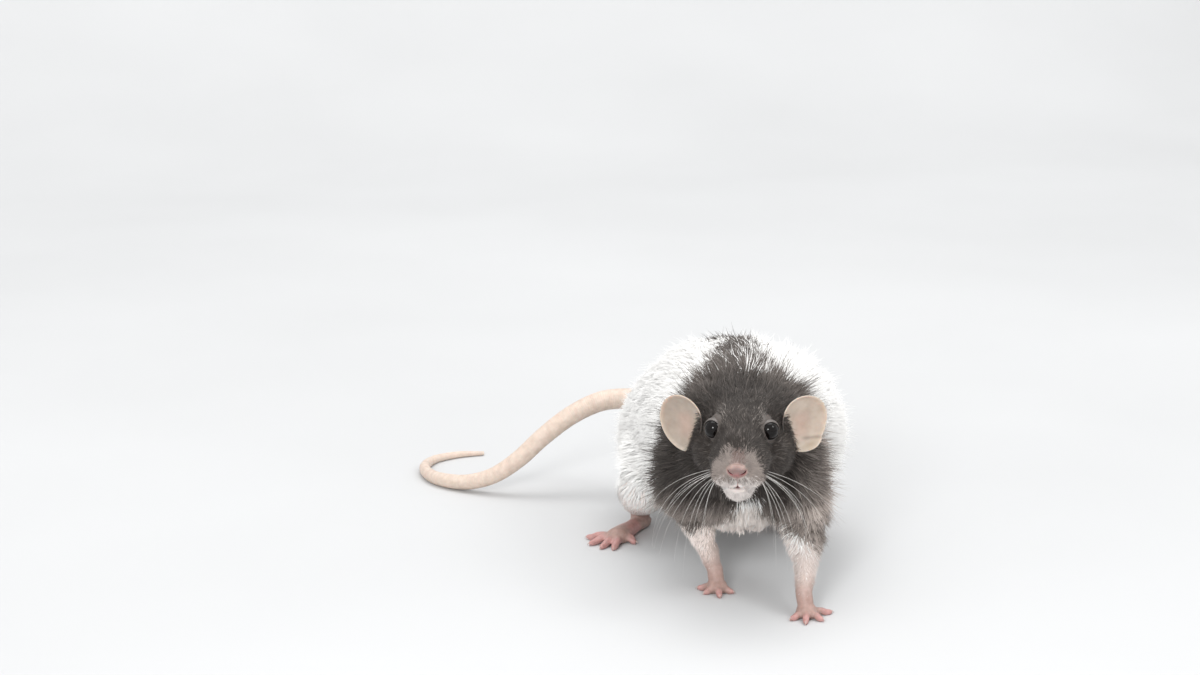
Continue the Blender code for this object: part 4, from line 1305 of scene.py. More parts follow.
    def tufts(self, name: str, root: np.ndarray, normal: np.ndarray, rng: np.random.Generator,
              finish: bpy.types.Material, given: np.ndarray | None = None) -> bpy.types.Object:
        """Mesh of tapered three-sided tufts.

        Args:
            name: the piece's name.
            root: places on the skin.
            normal: the skin's normals there.
            rng: seeded source of chance.
            finish: the hair's material.
            given: the way that each tuft lies, if it isn't the coat's own.

        Returns:
            The coat piece.
        """
        n = len(root)
        depth = self.markings.depth(root) if given is None else np.full(n, self.ear_depth)
        lie = self.markings.flow(root, normal) if given is None else given
        length, lift, fall, width = self.sizes(root, depth, rng)
        length, lift, lie = self.laid(root, length, lift, lie, given is None)
        lie = unit(along_skin(lie, normal))
        lie = unit(lie + np.cross(normal, lie) * rng.normal(0, 0.14, n)[:, None])
        side = np.cross(lie, normal)
        lower = lie * np.cos(lift)[:, None] + normal * np.sin(lift)[:, None]
        upper = lie * np.cos(fall)[:, None] + normal * np.sin(fall)[:, None]
        upper = unit(upper + side * rng.normal(0, 0.12, n)[:, None] + np.array((0, 0, -0.10)))
        base = root - normal * self.root_depth * MM
        mid = base + lower * (length * self.lower_part * MM)[:, None]
        end = mid + upper * (length * self.upper_part * MM)[:, None]
        half = side * (width * 0.5 * MM)[:, None]
        up = np.cross(side, lower) * (width * -self.ridge * MM)[:, None]
        foot = [base - half, base + half, base + up]
        waist = [mid - half * self.waist, mid + half * self.waist, mid + up * self.waist]
        corners = np.stack([*foot, *waist, end], 1)
        first = np.arange(n)[:, None, None] * corners.shape[1]
        triangles = (first + np.array(self.faces)[None]).reshape(-1, 3)
        obj = mesh_object(name, corners.reshape(-1, 3), triangles, finish)
        ring = np.stack([-side, side, -np.cross(side, lower)] * 2 + [lower * 0.01], 1)
        crisp = (0.32 + 0.16 * smooth(-28, -38, self.place.to_rat(root)[:, 1]))[:, None, None]
        soft = unit(crisp * ring + normal[:, None] * 0.8).reshape(-1, 3)
        obj.data.normals_split_custom_set_from_vertices(soft.astype(np.float32))
        dark, light = self.markings.tuft_colours(root, rng)
        share = np.array(self.tone_share)[None, :, None]
        colour = dark[:, None] * (1 - share) + light[:, None] * share
        set_colours(obj, np.clip(colour.reshape(-1, 3), 0, 1))
        uv = self.markings.bake_place(root)[:, None] + np.array(self.patch)[None]
        set_bake_map(obj, uv.reshape(-1, 2))
        return obj

    def sizes(self, root: np.ndarray, depth: np.ndarray, rng: np.random.Generator) -> tuple[np.ndarray, ...]:
        """Sizes of tufts: long and steep in the ruff, sleek on the flanks, short by the eyes and the blaze.

        Args:
            root: places on the skin.
            depth: depth of the coat there in millimetres.
            rng: seeded source of chance.

        Returns:
            Length, lift of the lower and of the upper half in radians, and width, in millimetres.
        """
        n = len(root)
        p, h = self.place.to_rat(root), self.place.to_head(root)
        head = self.markings.head_weight(h)
        ruff = smooth(-24, -34, p[:, 1]) * smooth(30, 44, p[:, 2]) * (1 - smooth(20, 6, h[:, 1]) * head)
        sleek = smooth(-34, -16, p[:, 1])
        length = 1.2 + (2.05 + 0.45 * sleek) * depth
        length = length * rng.uniform(0.8, 1.18, n) * (1 + 0.12 * ripple(p, 6, 31))
        stray = rng.random(n) < 0.04 + 0.09 * ruff
        length = np.where(stray, length * self.stray_length, length)
        lift = 15 + (6.2 - 1.6 * sleek) * depth + 12 * ruff + 3 * ripple(p, 5, 32)
        lift = np.radians(lift + rng.normal(0, 5, n) + (14 - 6 * sleek) * stray)
        lift = np.clip(lift, *map(math.radians, self.lean))
        rim = self.eye_rim(h)
        blaze = smooth(-30, -38, p[:, 1]) * smooth(54, 42, p[:, 2]) * smooth(13, 8, np.abs(p[:, 0] + 5))
        blaze = blaze * (1 - head)
        length = length * (1 - 0.45 * rim) * (1 - 0.42 * blaze)
        lift = lift - 0.12 * blaze
        lift = lift * (1 - 0.35 * rim) * (1 - 0.22 * smooth(76, 86, p[:, 2]))
        fall = lift * np.where(stray, rng.uniform(0.6, 0.9, n), rng.uniform(0.28, 0.5, n))
        width = along(self.width_by_depth, depth) * rng.uniform(0.75, 1.2, n)
        return length, lift, fall, np.where(stray, width * self.stray_width, width)

    def laid(self, root: np.ndarray, length: np.ndarray, lift: np.ndarray, lie: np.ndarray,
             body: bool) -> tuple[np.ndarray, np.ndarray, np.ndarray]:
        """Tufts combed away from the eyes, and cut short and laid flat behind the ears.

        Args:
            root: places on the skin.
            length: lengths so far.
            lift: lifts so far.
            lie: ways that the tufts lie so far.
            body: whether these are the body's tufts and not the ear's own.

        Returns:
            Lengths, lifts and ways.
        """
        h = self.place.to_head(root)
        rim = self.eye_rim(h)
        for side in Side:
            disc, off = self.ear_gap(h, side)
            behind = smooth(1.15, 1.0, disc) * smooth(7, 5, np.abs(off)) * body
            length = length * (1 - 0.62 * behind)
            lift = lift * (1 - 0.45 * behind)
            away = unit(h - np.array(eye_centre(side))) @ self.place.head_turn().T
            mine = (rim * (h[:, 0] * side.value > 0))[:, None]
            lie = unit(lie * (1 - 0.75 * mine) + away * 0.75 * mine)
        return length, lift, lie


@dataclass
class Muzzle:
    """Nose pad, cleft, lips and mouth as one finely meshed patch over the skin's front."""

    place: Placement
    markings: Markings
    skin: bpy.types.Object
    step: float = 0.11
    half_width: float = 6.9
    low: float = -20.6
    high: float = -2.6
    in_front: float = 60.0
    back_limit: float = -13.0
    patch_edge: float = 1.35
    room: float = 2.3
    pad_colour: tuple = (0.20, 0.130, 0.120)
    flush: tuple = (0.34, 0.115, 0.115)
    # Dark: painted shade in the nostrils.
    dark: tuple = (0.12, 0.035, 0.035)
    # Mouth: the mouth's own red, darkened as painted shade in its opening.
    mouth: tuple = (0.30, 0.08, 0.08)
    lip: tuple = (0.56, 0.50, 0.475)
    # Line: painted shade along the cleft and between the lips.
    line: tuple = (0.25, 0.12, 0.11)

    def build(self) -> bpy.types.Object:
        """Casts a grid on the skin from the front and shapes it."""
        step = self.step * 1
        xs = np.arange(-self.half_width, self.half_width + step / 2, step)
        zs = np.arange(self.low, self.high + step / 2, step)
        grid = self.cast(xs, zs)
        x, z = np.meshgrid(xs, zs)
        front = np.nan_to_num(grid, nan=self.in_front)
        for _ in range(4):
            front[1:-1, 1:-1] = (front[:-2, 1:-1] + front[2:, 1:-1] + front[1:-1, :-2] + front[1:-1, 2:]) / 4
        y = front - self.relief(x, z)
        keep = np.isfinite(grid) & (grid < self.back_limit) & (self.rim(x, z) < self.patch_edge)
        number = np.full(x.shape, -1)
        number[keep] = np.arange(keep.sum())
        cells = number.ravel()[grid_faces(len(zs), len(xs), around=False)].reshape(2, -1, 3)
        whole = (cells >= 0).all(axis=(0, 2))
        points = self.place.from_head(np.stack([x[keep], y[keep], z[keep]], -1))
        obj = mesh_object("muzzle", points, cells[:, whole].reshape(-1, 3), MuzzleFinish().make())
        set_colours(obj, self.colours(x[keep], z[keep], self.markings.skin_colours(points)))
        self.make_room()
        return obj

    def cast(self, xs: np.ndarray, zs: np.ndarray) -> np.ndarray:
        """Depth at which rays from the front meet the skin, in millimetres, and nan where they miss it.

        Args:
            xs: places across the face.
            zs: heights.

        Returns:
            One row for each height.
        """
        tree = BVHTree.FromObject(self.skin, bpy.context.evaluated_depsgraph_get())
        back = self.place.head.to_3x3() @ Vector((0, 1, 0))
        grid = np.full((len(zs), len(xs)), np.nan)
        for i, z in enumerate(zs):
            for j, x in enumerate(xs):
                hit = tree.ray_cast(self.place.head_point(x, -self.in_front, z), back, 0.1)
                if hit[0] is not None:
                    grid[i, j] = hit[3] / MM - self.in_front
        return grid

    def make_room(self) -> None:
        """Sinks the skin behind the nostrils, the cleft and the mouth."""
        world = coordinates(self.skin.data)
        h = self.place.to_head(world)
        x, z = h[:, 0], h[:, 2]
        nose = smooth(1.0, 0.84, nose_gap(x, z))
        lips = smooth(1.5, 0.9, np.abs(z - self.mouth_height(x))) * smooth(6.4, 5.4, np.abs(x))
        cleft = smooth(0.9, 0.5, np.abs(x)) * smooth(-8, -9, z) * smooth(-17.5, -16.5, z)
        sink = self.room * np.maximum(np.maximum(nose, lips), cleft) * smooth(-15.5, -17.5, h[:, 1])
        back = np.array(self.place.head)[:3, 1]
        move_corners(self.skin, world + sink[:, None] * back * MM)
        self.skin.data.update()

    def rim(self, x: np.ndarray, z: np.ndarray) -> np.ndarray:
        """Distance outwards over the patch: under 1 inside it."""
        cleft = np.hypot(x / 2.2, (z + 12.0) / 4.2)
        lips = np.hypot(x / 6.6, (z - self.mouth_height(x) + 0.2) / 2.0)
        return np.minimum(np.minimum(nose_gap(x, z), cleft), lips)

    def nostril(self, x: np.ndarray, z: np.ndarray) -> np.ndarray:
        """1 in the middle of a nostril's slit."""
        u, v = np.abs(x) - 2.5, z + 8.5
        along_slit, across_slit = 0.80 * u + 0.60 * v, -0.60 * u + 0.80 * v
        bend = across_slit - 0.28 * along_slit**2 + 0.1
        return bell(bend, 0.27) * np.exp(-((along_slit / 1.1) ** 4))

    def mouth_height(self, x: np.ndarray) -> np.ndarray:
        """Height of the line between the lips."""
        return -16.4 - 0.006 * x**2 + 0.3 * bell(x, 0.9)

    def relief(self, x: np.ndarray, z: np.ndarray) -> np.ndarray:
        """How far the patch stands forward of the skin, in millimetres."""
        wide, gap = np.abs(x), z - self.mouth_height(x)
        edge = 0.30 * smooth(1.12, 0.82, self.rim(x, z))
        pad = 0.30 * smooth(1.0, 0.7, nose_gap(x, z)) * smooth(-5.4, -7.6, z)
        wings = 0.45 * spot(wide - 2.5, 1.2, z + 7.1, 1.3)
        middle = 0.30 * spot(x, 1.0, z + 9.4, 1.0)
        groove = -0.42 * bell(x, 0.30) * smooth(-9.2, -10.2, z) * smooth(-16.9, -15.9, z)
        ridge = -0.16 * bell(x, 0.55) * smooth(-9.0, -7.6, z) * smooth(-4.0, -5.6, z)
        mouth = -0.9 * bell(gap, 0.26) * smooth(7.2, 5.4, wide)
        hole = -1.2 * spot(x, 0.7, gap, 0.5)
        lower = 0.30 * bell(gap + 1.0, 0.65) * smooth(5.6, 2.0, wide)
        upper = 0.22 * bell(gap - 0.9, 0.7) * smooth(6.4, 3.0, wide)
        nostril = -1.5 * self.nostril(x, z)
        return edge + pad - 0.22 + wings + middle + groove + ridge + mouth + hole + lower + upper + nostril

    def colours(self, x: np.ndarray, z: np.ndarray, under: np.ndarray) -> np.ndarray:
        """Pink pad, flushed septum, pale lips, painted shade in the nostrils, along the cleft and along the
        mouth line, and the mouth's dark red, deepened by painted shade, laid over the skin's colours.
        """
        wide, gap, nostril = np.abs(x), z - self.mouth_height(x), self.nostril(x, z)
        layers = (
            (self.lip, 0.8 * bell(gap - 0.7, 0.8) * smooth(7.0, 5.0, wide)),
            (self.lip, 0.8 * bell(gap + 1.0, 0.8) * smooth(5.0, 3.0, wide)),
            (self.pad_colour, smooth(1.12, 0.84 - 0.5 * smooth(-7.6, -6.0, z), nose_gap(x, z))),
            (self.flush, 0.75 * spot(x, 1.2, z + 9.8, 1.2)),
            (self.flush, 0.55 * spot(wide - 2.3, 1.5, z + 9.3, 0.9)),
            # Painted shade along the cleft and the mouth line.
            (self.line, 0.8 * bell(x, 0.24) * smooth(-9.3, -10.2, z) * smooth(-16.7, -15.7, z)),
            (self.line, 0.6 * bell(gap, 0.22) * smooth(7.0, 3.0, wide)),
            # The mouth's opening: its own red, darkened as painted shade.
            (self.mouth, 0.9 * spot(x, 0.65, gap, 0.45)),
            (self.flush, 0.8 * smooth(0.05, 0.3, nostril)),
            # Painted shade in the nostrils.
            (self.dark, smooth(0.25, 0.6, nostril)),
        )
        for tone, amount in layers:
            under = cover(under, tone, amount)
        return under


@dataclass
class Eye:
    """Glossy dark eyeball with its lids."""

    place: Placement
    side: Side
    radius: float = 3.62
    cornea: float = 0.12
    lid_gap: float = 0.08
    look: tuple = (0.44, -0.89, 0.09)
    opening: tuple = (3.28, 3.22)
    outer_corner: float = 48.0
    inner_corner: float = 62.0
    profile: tuple = (
        (-0.06, 0.10), (0.00, -0.06), (0.12, -0.12), (0.24, -0.02), (0.40, 0.34), (0.60, 1.0), (0.75, 1.7),
        (0.5, 1.8), (0.06, 0.8),
    )
    wet: tuple = (0.014, 0.011, 0.010)
    rim: tuple = (0.04, 0.034, 0.031)
    collar: tuple = (0.105, 0.09, 0.083)

    def frame(self) -> Matrix:
        """Place of the eye, its own -Y axis along the way it faces."""
        look = Vector((self.look[0] * self.side.value, self.look[1], self.look[2])).normalized()
        turn = look.to_track_quat("-Y", "Z").to_matrix().to_4x4()
        return self.place.head @ Matrix.Translation(Vector(eye_centre(self.side)) * MM) @ turn

    def ball(self, finish: bpy.types.Material) -> bpy.types.Object:
        """Smooth eyeball with a slightly raised cornea."""
        rings, columns = 35, 48
        polar = np.linspace(0, math.pi, rings + 2)[1:-1]
        t, a = np.meshgrid(polar, ring_angles(columns), indexing="ij")
        r = self.radius + self.cornea * np.exp(-((t / 0.9) ** 4))
        across = r * np.sin(t)
        local = np.stack([across * np.cos(a), -r * np.cos(t), across * np.sin(a)], -1).reshape(-1, 3)
        local = np.vstack([local, (0, -self.radius - self.cornea, 0), (0, self.radius, 0)])
        points = placed(self.frame(), local)
        triangles = outward(points, capped_faces(rings, columns))
        return mesh_object(f"eyeball_{self.side.word}", points, triangles, finish)

    def lids(self, finish: bpy.types.Material) -> bpy.types.Object:
        """Thin dark rim round the open eye, with a collar that slopes down under the fur."""
        n, count = 96, len(self.profile)
        angle = ring_angles(n)
        s = self.side.value
        away = np.angle(np.exp(1j * (angle - math.radians(-90 + self.outer_corner * s))))
        inner = np.angle(np.exp(1j * (angle - math.radians(90 + self.inner_corner * s))))
        grow = 1 + 0.15 * bell(away, 0.38) + 0.05 * bell(inner, 0.45)
        x, z = self.opening[0] * np.cos(angle) * grow, self.opening[1] * np.sin(angle) * grow
        y = -np.sqrt(np.maximum((self.radius + self.lid_gap) ** 2 - np.hypot(x, z) ** 2, 0.8))
        out = unit(np.stack([x, z], -1))
        upper = 1 + 0.25 * np.maximum(np.sin(angle), 0)
        rows = []
        for reach, back in self.profile:
            wide = reach * (upper if reach > 0 else 1.0)
            rows.append(np.stack([x + out[:, 0] * wide, y + back, z + out[:, 1] * wide], -1))
        points = placed(self.frame(), np.stack(rows, 1).reshape(-1, 3))
        triangles = outward(points, grid_faces(n, count, closed=True))
        obj = mesh_object(f"lids_{self.side.word}", points, triangles, finish)
        set_colours(obj, np.tile([self.wet] * 2 + [self.rim] + [self.collar] * (count - 3), (n, 1)))
        return obj


@dataclass
class Ear:
    """Thin round cup with a rolled rim and a folded lower lobe."""

    place: Placement
    side: Side
    rings: int = 26
    sides: int = 96
    thickness: float = 0.62
    edge_thinning: float = 0.55
    fur_share: float = 0.97
    inner: tuple = (0.48, 0.415, 0.35)
    # Base: the warmer, darker tone of the hub and the lower cup, partly the skin's own colour and partly
    # painted shade in the cup's hollow.
    base: tuple = (0.42, 0.315, 0.265)
    under_fur: tuple = (0.05, 0.042, 0.037)
    rim_tone: tuple = (0.52, 0.45, 0.385)
    back_tone: float = 0.92
    # How dark the painted shadow along the left ear's crease is.
    crease_tone: float = 0.36

    def surface(self, share: np.ndarray, angle: np.ndarray) -> np.ndarray:
        """Middle surface: share 0 at the hub to 1 at the rim."""
        c, s = np.cos(angle), np.sin(angle)
        left = self.side is Side.LEFT
        outer = np.maximum(0.0, c * self.side.value)
        x = EAR_WIDTH * (1 + EAR_TAPER * s) * share * c
        z = EAR_HEIGHT * share * s
        y = EAR_DEPTH * (1 - share**2) - 0.9 * share**4 * outer + 0.30 * share**2 * np.sin(3 * angle + 0.6)
        y += 0.28 * np.sin(5.5 * share) * np.cos(angle * 2 + 1.1) * share
        y -= 0.55 * bell(share - 0.97, 0.05)
        fold = bell(np.mod(angle * self.side.value + math.pi * 2, math.pi * 2) - 5.25, 0.42)
        lobe = fold * smooth(0.72, 1.0, share) * (1.0 if left else 0.25)
        if left:
            y -= 0.7 * smooth(-0.56, -0.70, share * (s - 0.17 * c)) * smooth(-0.1, 0.2, share * c)
        y -= 2.2 * lobe
        z += 1.2 * lobe
        return np.stack([x, y, z], -1)

    def matrix(self) -> Matrix:
        """Place of the ear's own frame in the world."""
        return self.place.head @ Matrix.Translation(Vector(ear_centre(self.side)) * MM) @ ear_turn(self.side)

    def furred(self, inward: np.ndarray, height: np.ndarray) -> np.ndarray:
        """How far a place of the cup lies inside the edge of the fur; both coordinates run from -1 to 1."""
        return inward - 0.07 - 0.47 * (height + 1)

    def fur_roots(self, count: int, rng: np.random.Generator) -> tuple[np.ndarray, np.ndarray, np.ndarray]:
        """Roots of the fur that covers the cup's inner lower part.

        Args:
            count: the most roots.
            rng: seeded source of chance.

        Returns:
            Places, normals and directions in the world.
        """
        s = self.side.value
        tries = count * 6
        share, angle = np.sqrt(rng.random(tries)) * self.fur_share, rng.random(tries) * 2 * math.pi
        inward, height = -share * np.cos(angle) * s, share * np.sin(angle)
        chosen = np.nonzero(self.furred(inward, height) + rng.normal(0, 0.08, tries) > 0.24)[0][:count]
        share, angle, height = share[chosen], angle[chosen], height[chosen]
        at = self.surface(share, angle)
        along, across = self.surface(share + 0.01, angle) - at, self.surface(share, angle + 0.01) - at
        normal = unit(np.cross(along, across))
        normal *= -np.sign(normal[:, 1:2])
        way = np.stack([np.full(len(chosen), float(s)), np.zeros(len(chosen)), 0.75 * height - 0.25], -1)
        way = unit(along_skin(way, normal))
        turn = np.array(self.matrix())[:3, :3].T
        return placed(self.matrix(), at + normal * self.thickness * 0.5), normal @ turn, way @ turn

    def build(self, finish: bpy.types.Material) -> bpy.types.Object:
        """Meshes both faces of the ear and its edge, and colours them."""
        share = (np.arange(1, self.rings + 1) / self.rings) ** 0.85
        r, a = (np.append(0.0, v) for v in np.meshgrid(share, ring_angles(self.sides), indexing="ij"))
        middle = self.surface(r, a)
        thin = self.thickness * (1 - self.edge_thinning * r**6)
        front, back = middle.copy(), middle.copy()
        front[:, 1] -= thin / 2
        back[:, 1] += thin / 2
        points = placed(self.matrix(), np.vstack([front, back]))
        k = np.arange(self.sides)
        fan = np.stack([np.zeros(self.sides, int), 1 + (k + 1) % self.sides, 1 + k], -1)
        sheet = np.concatenate([fan, 1 + grid_faces(self.rings, self.sides)])
        rim = 1 + (self.rings - 1) * self.sides + k
        edge = np.concatenate([rim, rim + len(middle)])[grid_faces(2, self.sides)]
        triangles = outward(points, np.concatenate([sheet, sheet[:, ::-1] + len(middle), edge]))
        obj = mesh_object(f"ear_cup_{self.side.word}", points, triangles, finish)
        tone = self.colours(r, a)
        set_colours(obj, np.vstack([tone, tone * self.back_tone]))
        return obj

    def colours(self, share: np.ndarray, angle: np.ndarray) -> np.ndarray:
        """Thin pale cup with a warmer hub, a light rim and dark skin under the fur; the darker hub and lower
        cup are partly painted shade, the right ear is darkened as painted shade and the left ear has a
        painted shadow along its crease.
        """
        inward, height = -share * np.cos(angle) * self.side.value, share * np.sin(angle)
        left = self.side is Side.LEFT
        # Painted shade, with the skin's own warmer colour: the hub and the lower cup darken toward the base
        # tone.
        low = smooth(0.2, -1.0, np.sin(angle)) * smooth(0.9, 0.2, share)
        # Painted shade: the right ear, away from the key lamp, is darker than the left.
        tone = np.array(self.inner) * np.ones((len(share), 1)) * (0.92 if left else 0.71)
        tone = cover(tone, self.base, np.maximum(smooth(0.62, 0.1, share), low) * 0.8)
        tone = cover(tone, self.rim_tone, smooth(0.86, 1.0, share))
        if left:
            # Painted shadow along the crease over the left ear's folded lobe.
            crease_shadow = bell(height + 0.60 + 0.17 * inward, 0.05) * smooth(0.0, -0.3, inward)
            tone = tone * (1 - self.crease_tone * crease_shadow[:, None])
        return cover(tone, self.under_fur, smooth(0.08, 0.32, self.furred(inward, height)))


@dataclass
class Whiskers:
    """Long curved whiskers from the pads, made by Geometry Nodes round a fan of curves."""

    place: Placement
    reach: tuple = (
        (14, 3, 12), (13, 1, 23), (7.5, -1, 20), (18, 5, 21), (10, 2, 25), (4, 0, 17),
        (23, 8, 21), (17, 4, 17), (6, 1, 23), (26, 11, 17), (20, 6, 27),
    )
    first_root: tuple = (7.9, -19.0, -11.0)
    root_steps: tuple = (-0.35, 1.7, -1.3)
    root_radius: float = 0.054
    rows: int = 3
    steps: int = 16
    sides: int = 5
    seed: int = 12

    def curves(self) -> bpy.types.Object:
        """Fan of tapered curves, each a parabola from its root on the pad."""
        rng = np.random.default_rng(self.seed)
        data = bpy.data.curves.new("whiskers", "CURVE")
        data.dimensions = "3D"
        for side in Side:
            mirror = np.array((side.value, 1.0, 1.0))
            for number, (out, back, drop) in enumerate(self.reach):
                column, row = divmod(number, self.rows)
                root = np.array(self.first_root) + np.array(self.root_steps) * (column, column, row)
                grow = rng.uniform(1.0, 1.3)
                wide, far = out * rng.uniform(0.85, 1.15), back + rng.uniform(-1.5, 1.5)
                end = np.array((wide, far, -1.3 * drop)) * grow
                dip = -0.32 * drop + rng.uniform(-0.8, 0.8)
                bow = np.array((0.80 * out + 1.0, 0.30 * back - 1.0, dip)) * grow
                line = data.splines.new("POLY")
                line.points.add(self.steps - 1)
                for k, point in enumerate(line.points):
                    t = k / (self.steps - 1)
                    at = (root + 2 * t * (1 - t) * bow + t * t * end) * mirror
                    point.co = (*self.place.head_point(*at), 1)
                    point.radius = max(0.10, 1 - t) ** 0.7
        return linked("whiskers", data)

    def build(self) -> bpy.types.Object:
        """Thickens the curves and returns a plain mesh."""
        finish = PlainFinish("whisker_hair", (0.88, 0.86, 0.82), 0.35).make()
        grow = Growth("Thicken whiskers", {"Root radius": "NodeSocketFloat"})
        ring = {"Resolution": self.sides, "Radius": grow.given("Root radius")}
        profile = grow.add("GeometryNodeCurvePrimitiveCircle", {}, ring)
        taper = grow.add("GeometryNodeInputRadius")
        tube = grow.add("GeometryNodeCurveToMesh", {}, {
            "Curve": grow.given("Geometry"), "Profile Curve": grow.out(profile), "Scale": grow.out(taper),
            "Fill Caps": True,
        })
        radius = {"Root radius": self.root_radius * MM}
        return grow.result(grow.out(tube), self.curves(), radius, "whisker_fan", finish)


@dataclass
class Claws:
    """Small hooked claws at the toes' tips, placed by Geometry Nodes."""

    place: Placement
    length: float = 0.95
    thickness: float = 0.30
    height: float = 1.15
    past_tip: float = 1.0
    rings: int = 9
    sides: int = 8

    def pattern(self) -> bpy.types.Object:
        """One claw along +X from its root."""
        t = np.linspace(0, 1, self.rings)
        hook = 0.35 * np.sin(t * math.pi * 0.9) - 0.95 * t**2
        path = np.stack([t * self.length, np.zeros(self.rings), hook], -1)
        points, triangles = sweep(path * MM, self.thickness * (1 - 0.86 * t**1.4) * MM, self.sides)
        return mesh_object("claw_pattern", points, outward(points, triangles))

    def points(self) -> bpy.types.Object:
        """A point at each toe's tip, with the way that its claw faces."""
        places, facing = [], []
        for palm, toes in PAWS.values():
            for tip in toes:
                run = Vector((tip[0] - palm[0], tip[1] - palm[1], 0)).normalized()
                places.append(Vector((tip[0], tip[1], self.height)) + run * self.past_tip)
                facing.append(math.atan2(run.y, run.x))
        mesh = bpy.data.meshes.new("claw_points")
        mesh.from_pydata([tuple(v) for v in self.place.from_rat(np.array(places))], [], [])
        turn = mesh.attributes.new("facing", "FLOAT", "POINT")
        turn.data.foreach_set("value", np.array(facing, np.float32))
        return linked("claw_points", mesh)

    def build(self) -> bpy.types.Object:
        """Puts a claw on every toe."""
        finish = PlainFinish("claw_horn", (0.52, 0.40, 0.36), 0.35, 0.1).make()
        grow = Growth("Place claws", {"Claw": "NodeSocketObject"})
        info = grow.add("GeometryNodeObjectInfo", {}, {"Object": grow.given("Claw")})
        facing = grow.add("GeometryNodeInputNamedAttribute", {"data_type": "FLOAT"}, {"Name": "facing"})
        turn = grow.add("ShaderNodeCombineXYZ", {}, {"Z": grow.out(facing, "Attribute")})
        spread = grow.add("GeometryNodeInstanceOnPoints", {}, {
            "Points": grow.given("Geometry"), "Instance": grow.out(info, "Geometry"),
            "Rotation": grow.out(turn),
        })
        pattern = self.pattern()
        obj = grow.result(grow.out(spread), self.points(), {"Claw": pattern}, "claws", finish)
        bpy.data.objects.remove(pattern)
        return obj


@dataclass
class Tail:
    """Ringed tail along its route."""

    place: Placement
    ring_spacing: float = 0.85
    rows_to_ring: int = 5
    ring_step: float = 0.030
    ring_foot: float = 0.018
    flute_depth: float = 0.008
    sides: int = 22
    floor_gap: float = 0.02
    under_cad: float = 0.985
    flutes: int = 9
    pale: tuple = (0.60, 0.515, 0.44)
    pink: tuple = (0.62, 0.46, 0.40)

    def build(self) -> bpy.types.Object:
        """Sweeps the tail with a step at each ring of scales."""
        rows = spline([[*p, r] for p, r in zip(TAIL_ROUTE, TAIL_RADII)], 60)
        run = np.concatenate([[0], np.cumsum(np.linalg.norm(np.diff(rows[:, :3], axis=0), axis=1))])
        at = np.arange(0, run[-1], self.ring_spacing / self.rows_to_ring)
        rows = np.stack([np.interp(at, run, rows[:, k]) for k in range(4)], -1)
        step = np.mod(at / self.ring_spacing, 1.0)
        relief = 1 + (self.ring_step * step - self.ring_foot) * np.minimum(1.0, rows[:, 3] / 2)
        wave = np.sin(ring_angles(self.sides)[None] * self.flutes + at[:, None] * 3.7)
        flute = 1 + self.flute_depth * wave
        radii = rows[:, 3:4] * relief[:, None] * flute * self.under_cad
        points, triangles = sweep(rows[:, :3], radii, self.sides)
        points[:, 2] = np.maximum(points[:, 2], self.floor_gap)
        points = self.place.from_rat(points)
        obj = mesh_object("tail", points, outward(points, triangles), TailFinish().make())
        ring = np.repeat(step, self.sides)
        tone = cover(np.array(self.pale) * np.ones((len(ring), 1)), self.pink, 0.6 * smooth(0.55, 1.0, ring))
        set_colours(obj, np.vstack([tone, tone[:1], tone[-1:]]))
        return obj


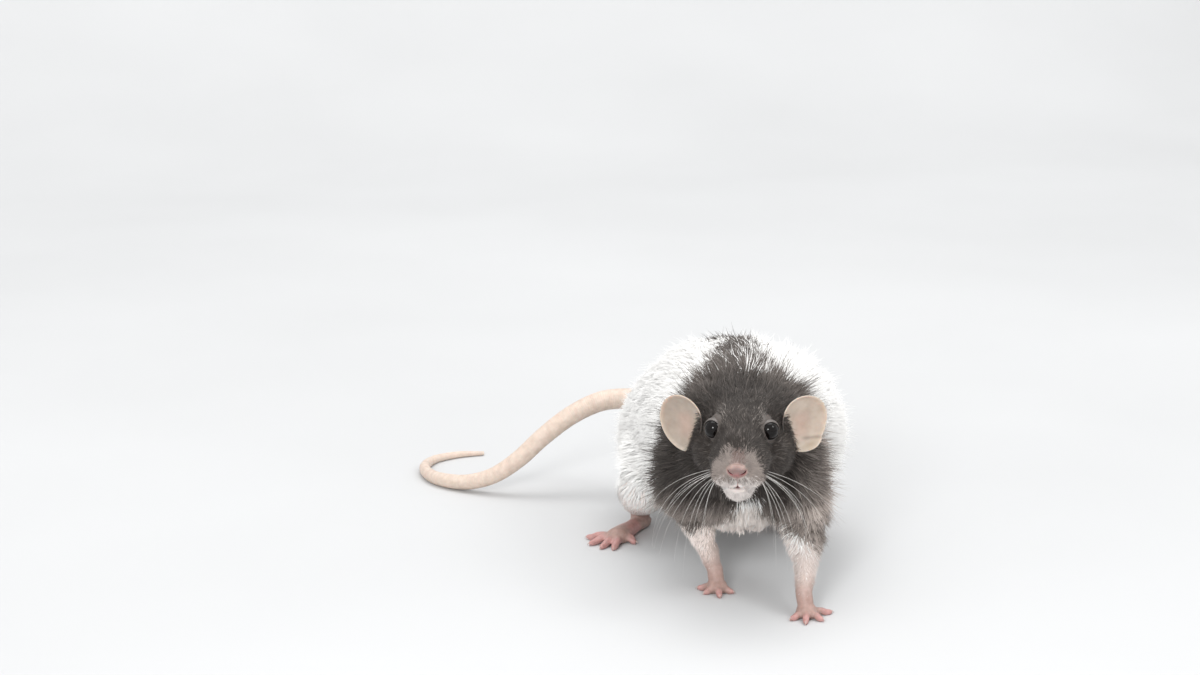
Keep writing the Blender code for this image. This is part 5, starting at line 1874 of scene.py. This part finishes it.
@dataclass
class Stage:
    """Pale seamless floor, soft studio light and the camera. Sizes are in metres unless said otherwise."""

    place: Placement
    camera_place: tuple = (-191.7, -880.9, 287.0)
    camera_yaw: float = 9.0
    camera_pitch: float = 12.4
    lens: float = 70.0
    sensor: float = 36.0
    near_clip: float = 0.01
    half_width: float = 3.0
    front: float = -2.2
    bend_start: float = 1.0
    bend_radius: float = 0.9
    wall_top: float = 3.2
    sky: float = 1.06

    def floor(self) -> bpy.types.Object:
        """Floor that curves up into a backdrop."""
        flat, bend, across = 17, 12, 7
        turn = np.linspace(0.1, math.pi / 2, bend)
        wall = self.bend_start + self.bend_radius
        bend_y = self.bend_start + self.bend_radius * np.sin(turn)
        bend_z = self.bend_radius * (1 - np.cos(turn))
        y = np.concatenate([np.linspace(self.front, self.bend_start, flat), bend_y, [wall]])
        z = np.concatenate([np.zeros(flat), bend_z, [self.wall_top]])
        profile = np.stack([y, z], -1)
        x = np.linspace(-self.half_width, self.half_width, across)
        points = np.array([(a, *row) for row in profile for a in x])
        finish = PlainFinish("paper", (0.61, 0.615, 0.62), 0.75, spots=400.0).make()
        obj = mesh_object("studio_floor", points, grid_faces(len(profile), across, around=False), finish)
        return obj

    def lamp(self, name: str, place: tuple, size: float, power: float, aim: tuple = (0, -0.02, 0.05)) -> None:
        """Adds a soft round lamp.

        Args:
            name: the lamp's name.
            place: where it stands.
            size: its diameter.
            power: its power in watts.
            aim: the point that it faces.
        """
        data = bpy.data.lights.new(name, "AREA")
        data.shape, data.size, data.energy = "DISK", size, power
        obj = linked(name, data)
        obj.location = place
        obj.rotation_euler = (Vector(aim) - Vector(place)).to_track_quat("-Z", "Y").to_euler()

    def build(self) -> None:
        """Sets up floor, light and camera."""
        self.floor()
        world = bpy.data.worlds.new("studio")
        world.use_nodes = True
        world.node_tree.nodes["Background"].inputs["Color"].default_value = (1.0, 1.0, 1.0, 1)
        world.node_tree.nodes["Background"].inputs["Strength"].default_value = self.sky
        scene = bpy.context.scene
        scene.world = world
        scene.view_settings.view_transform = "Standard"
        self.lamp("key", (0.85, -0.65, 1.1), size=0.5, power=4.2)
        self.lamp("window", (-0.42, -0.98, 0.50), size=0.3, power=6.0)
        self.lamp("top", (0.25, 0.25, 1.5), size=1.2, power=4.0)
        self.lamp("backdrop_lamp", (0.0, 0.7, 2.3), size=2.0, power=24.0, aim=(0, 1.9, 0.9))
        data = bpy.data.cameras.new("camera")
        data.lens, data.sensor_width, data.clip_start = self.lens, self.sensor, self.near_clip
        camera = linked("camera", data)
        camera.location = Vector(self.place.from_rat(np.array(self.camera_place)))
        camera.rotation_euler = (math.radians(90 - self.camera_pitch), 0, math.radians(-self.camera_yaw))
        scene.camera = camera


def kept(obj: bpy.types.Object, slot: str, *nodes: str) -> None:
    """Makes a piece clear the floor, ride the rat's body and stand for CAD nodes.

    Args:
        obj: the finished piece.
        slot: not used.
        nodes: CAD nodes that it replaces.
    """
    points = coordinates(obj.data)
    points[:, 2] = np.maximum(points[:, 2], FLOOR_GAP * MM)
    move_corners(obj, points)
    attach(obj, BODY)
    if nodes:
        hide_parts(*nodes)
    LOG.info("%s: %d faces", obj.name, len(obj.data.polygons))


def main() -> None:
    """Builds the rat from its skin outwards."""
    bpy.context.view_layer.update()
    place = Placement.from_frame()
    markings = Markings(place)
    Stage(place).build()
    skin = Skin(place, markings).build()
    for piece in Coat(skin, place, markings).build():
        dark = any(word in piece.name for word in ("face", "hood", "ear"))
        kept(piece, "hood_coat" if dark else "white_coat")
    kept(Muzzle(place, markings, skin).build(), "bare_skin")
    kept(skin, "white_coat", *FLESH)
    ball_finish = PlainFinish("eye_gloss", (0.004, 0.0028, 0.0025), 0.03, shine=0.22).make()
    lid_finish = LidFinish().make()
    ear_finish = EarFinish().make()
    for side in Side:
        eye = Eye(place, side)
        kept(eye.ball(ball_finish), "eye_gloss", f"eye_{side.word}")
        kept(eye.lids(lid_finish), "hood_coat")
        kept(Ear(place, side).build(ear_finish), "ear_skin", f"ear_{side.word}")
    kept(Whiskers(place).build(), "white_coat")
    kept(Claws(place).build(), "bare_skin")
    kept(Tail(place).build(), "bare_skin", *TAIL_NODES)


if __name__ == "__main__":
    logging.basicConfig(level=logging.INFO)
    main()
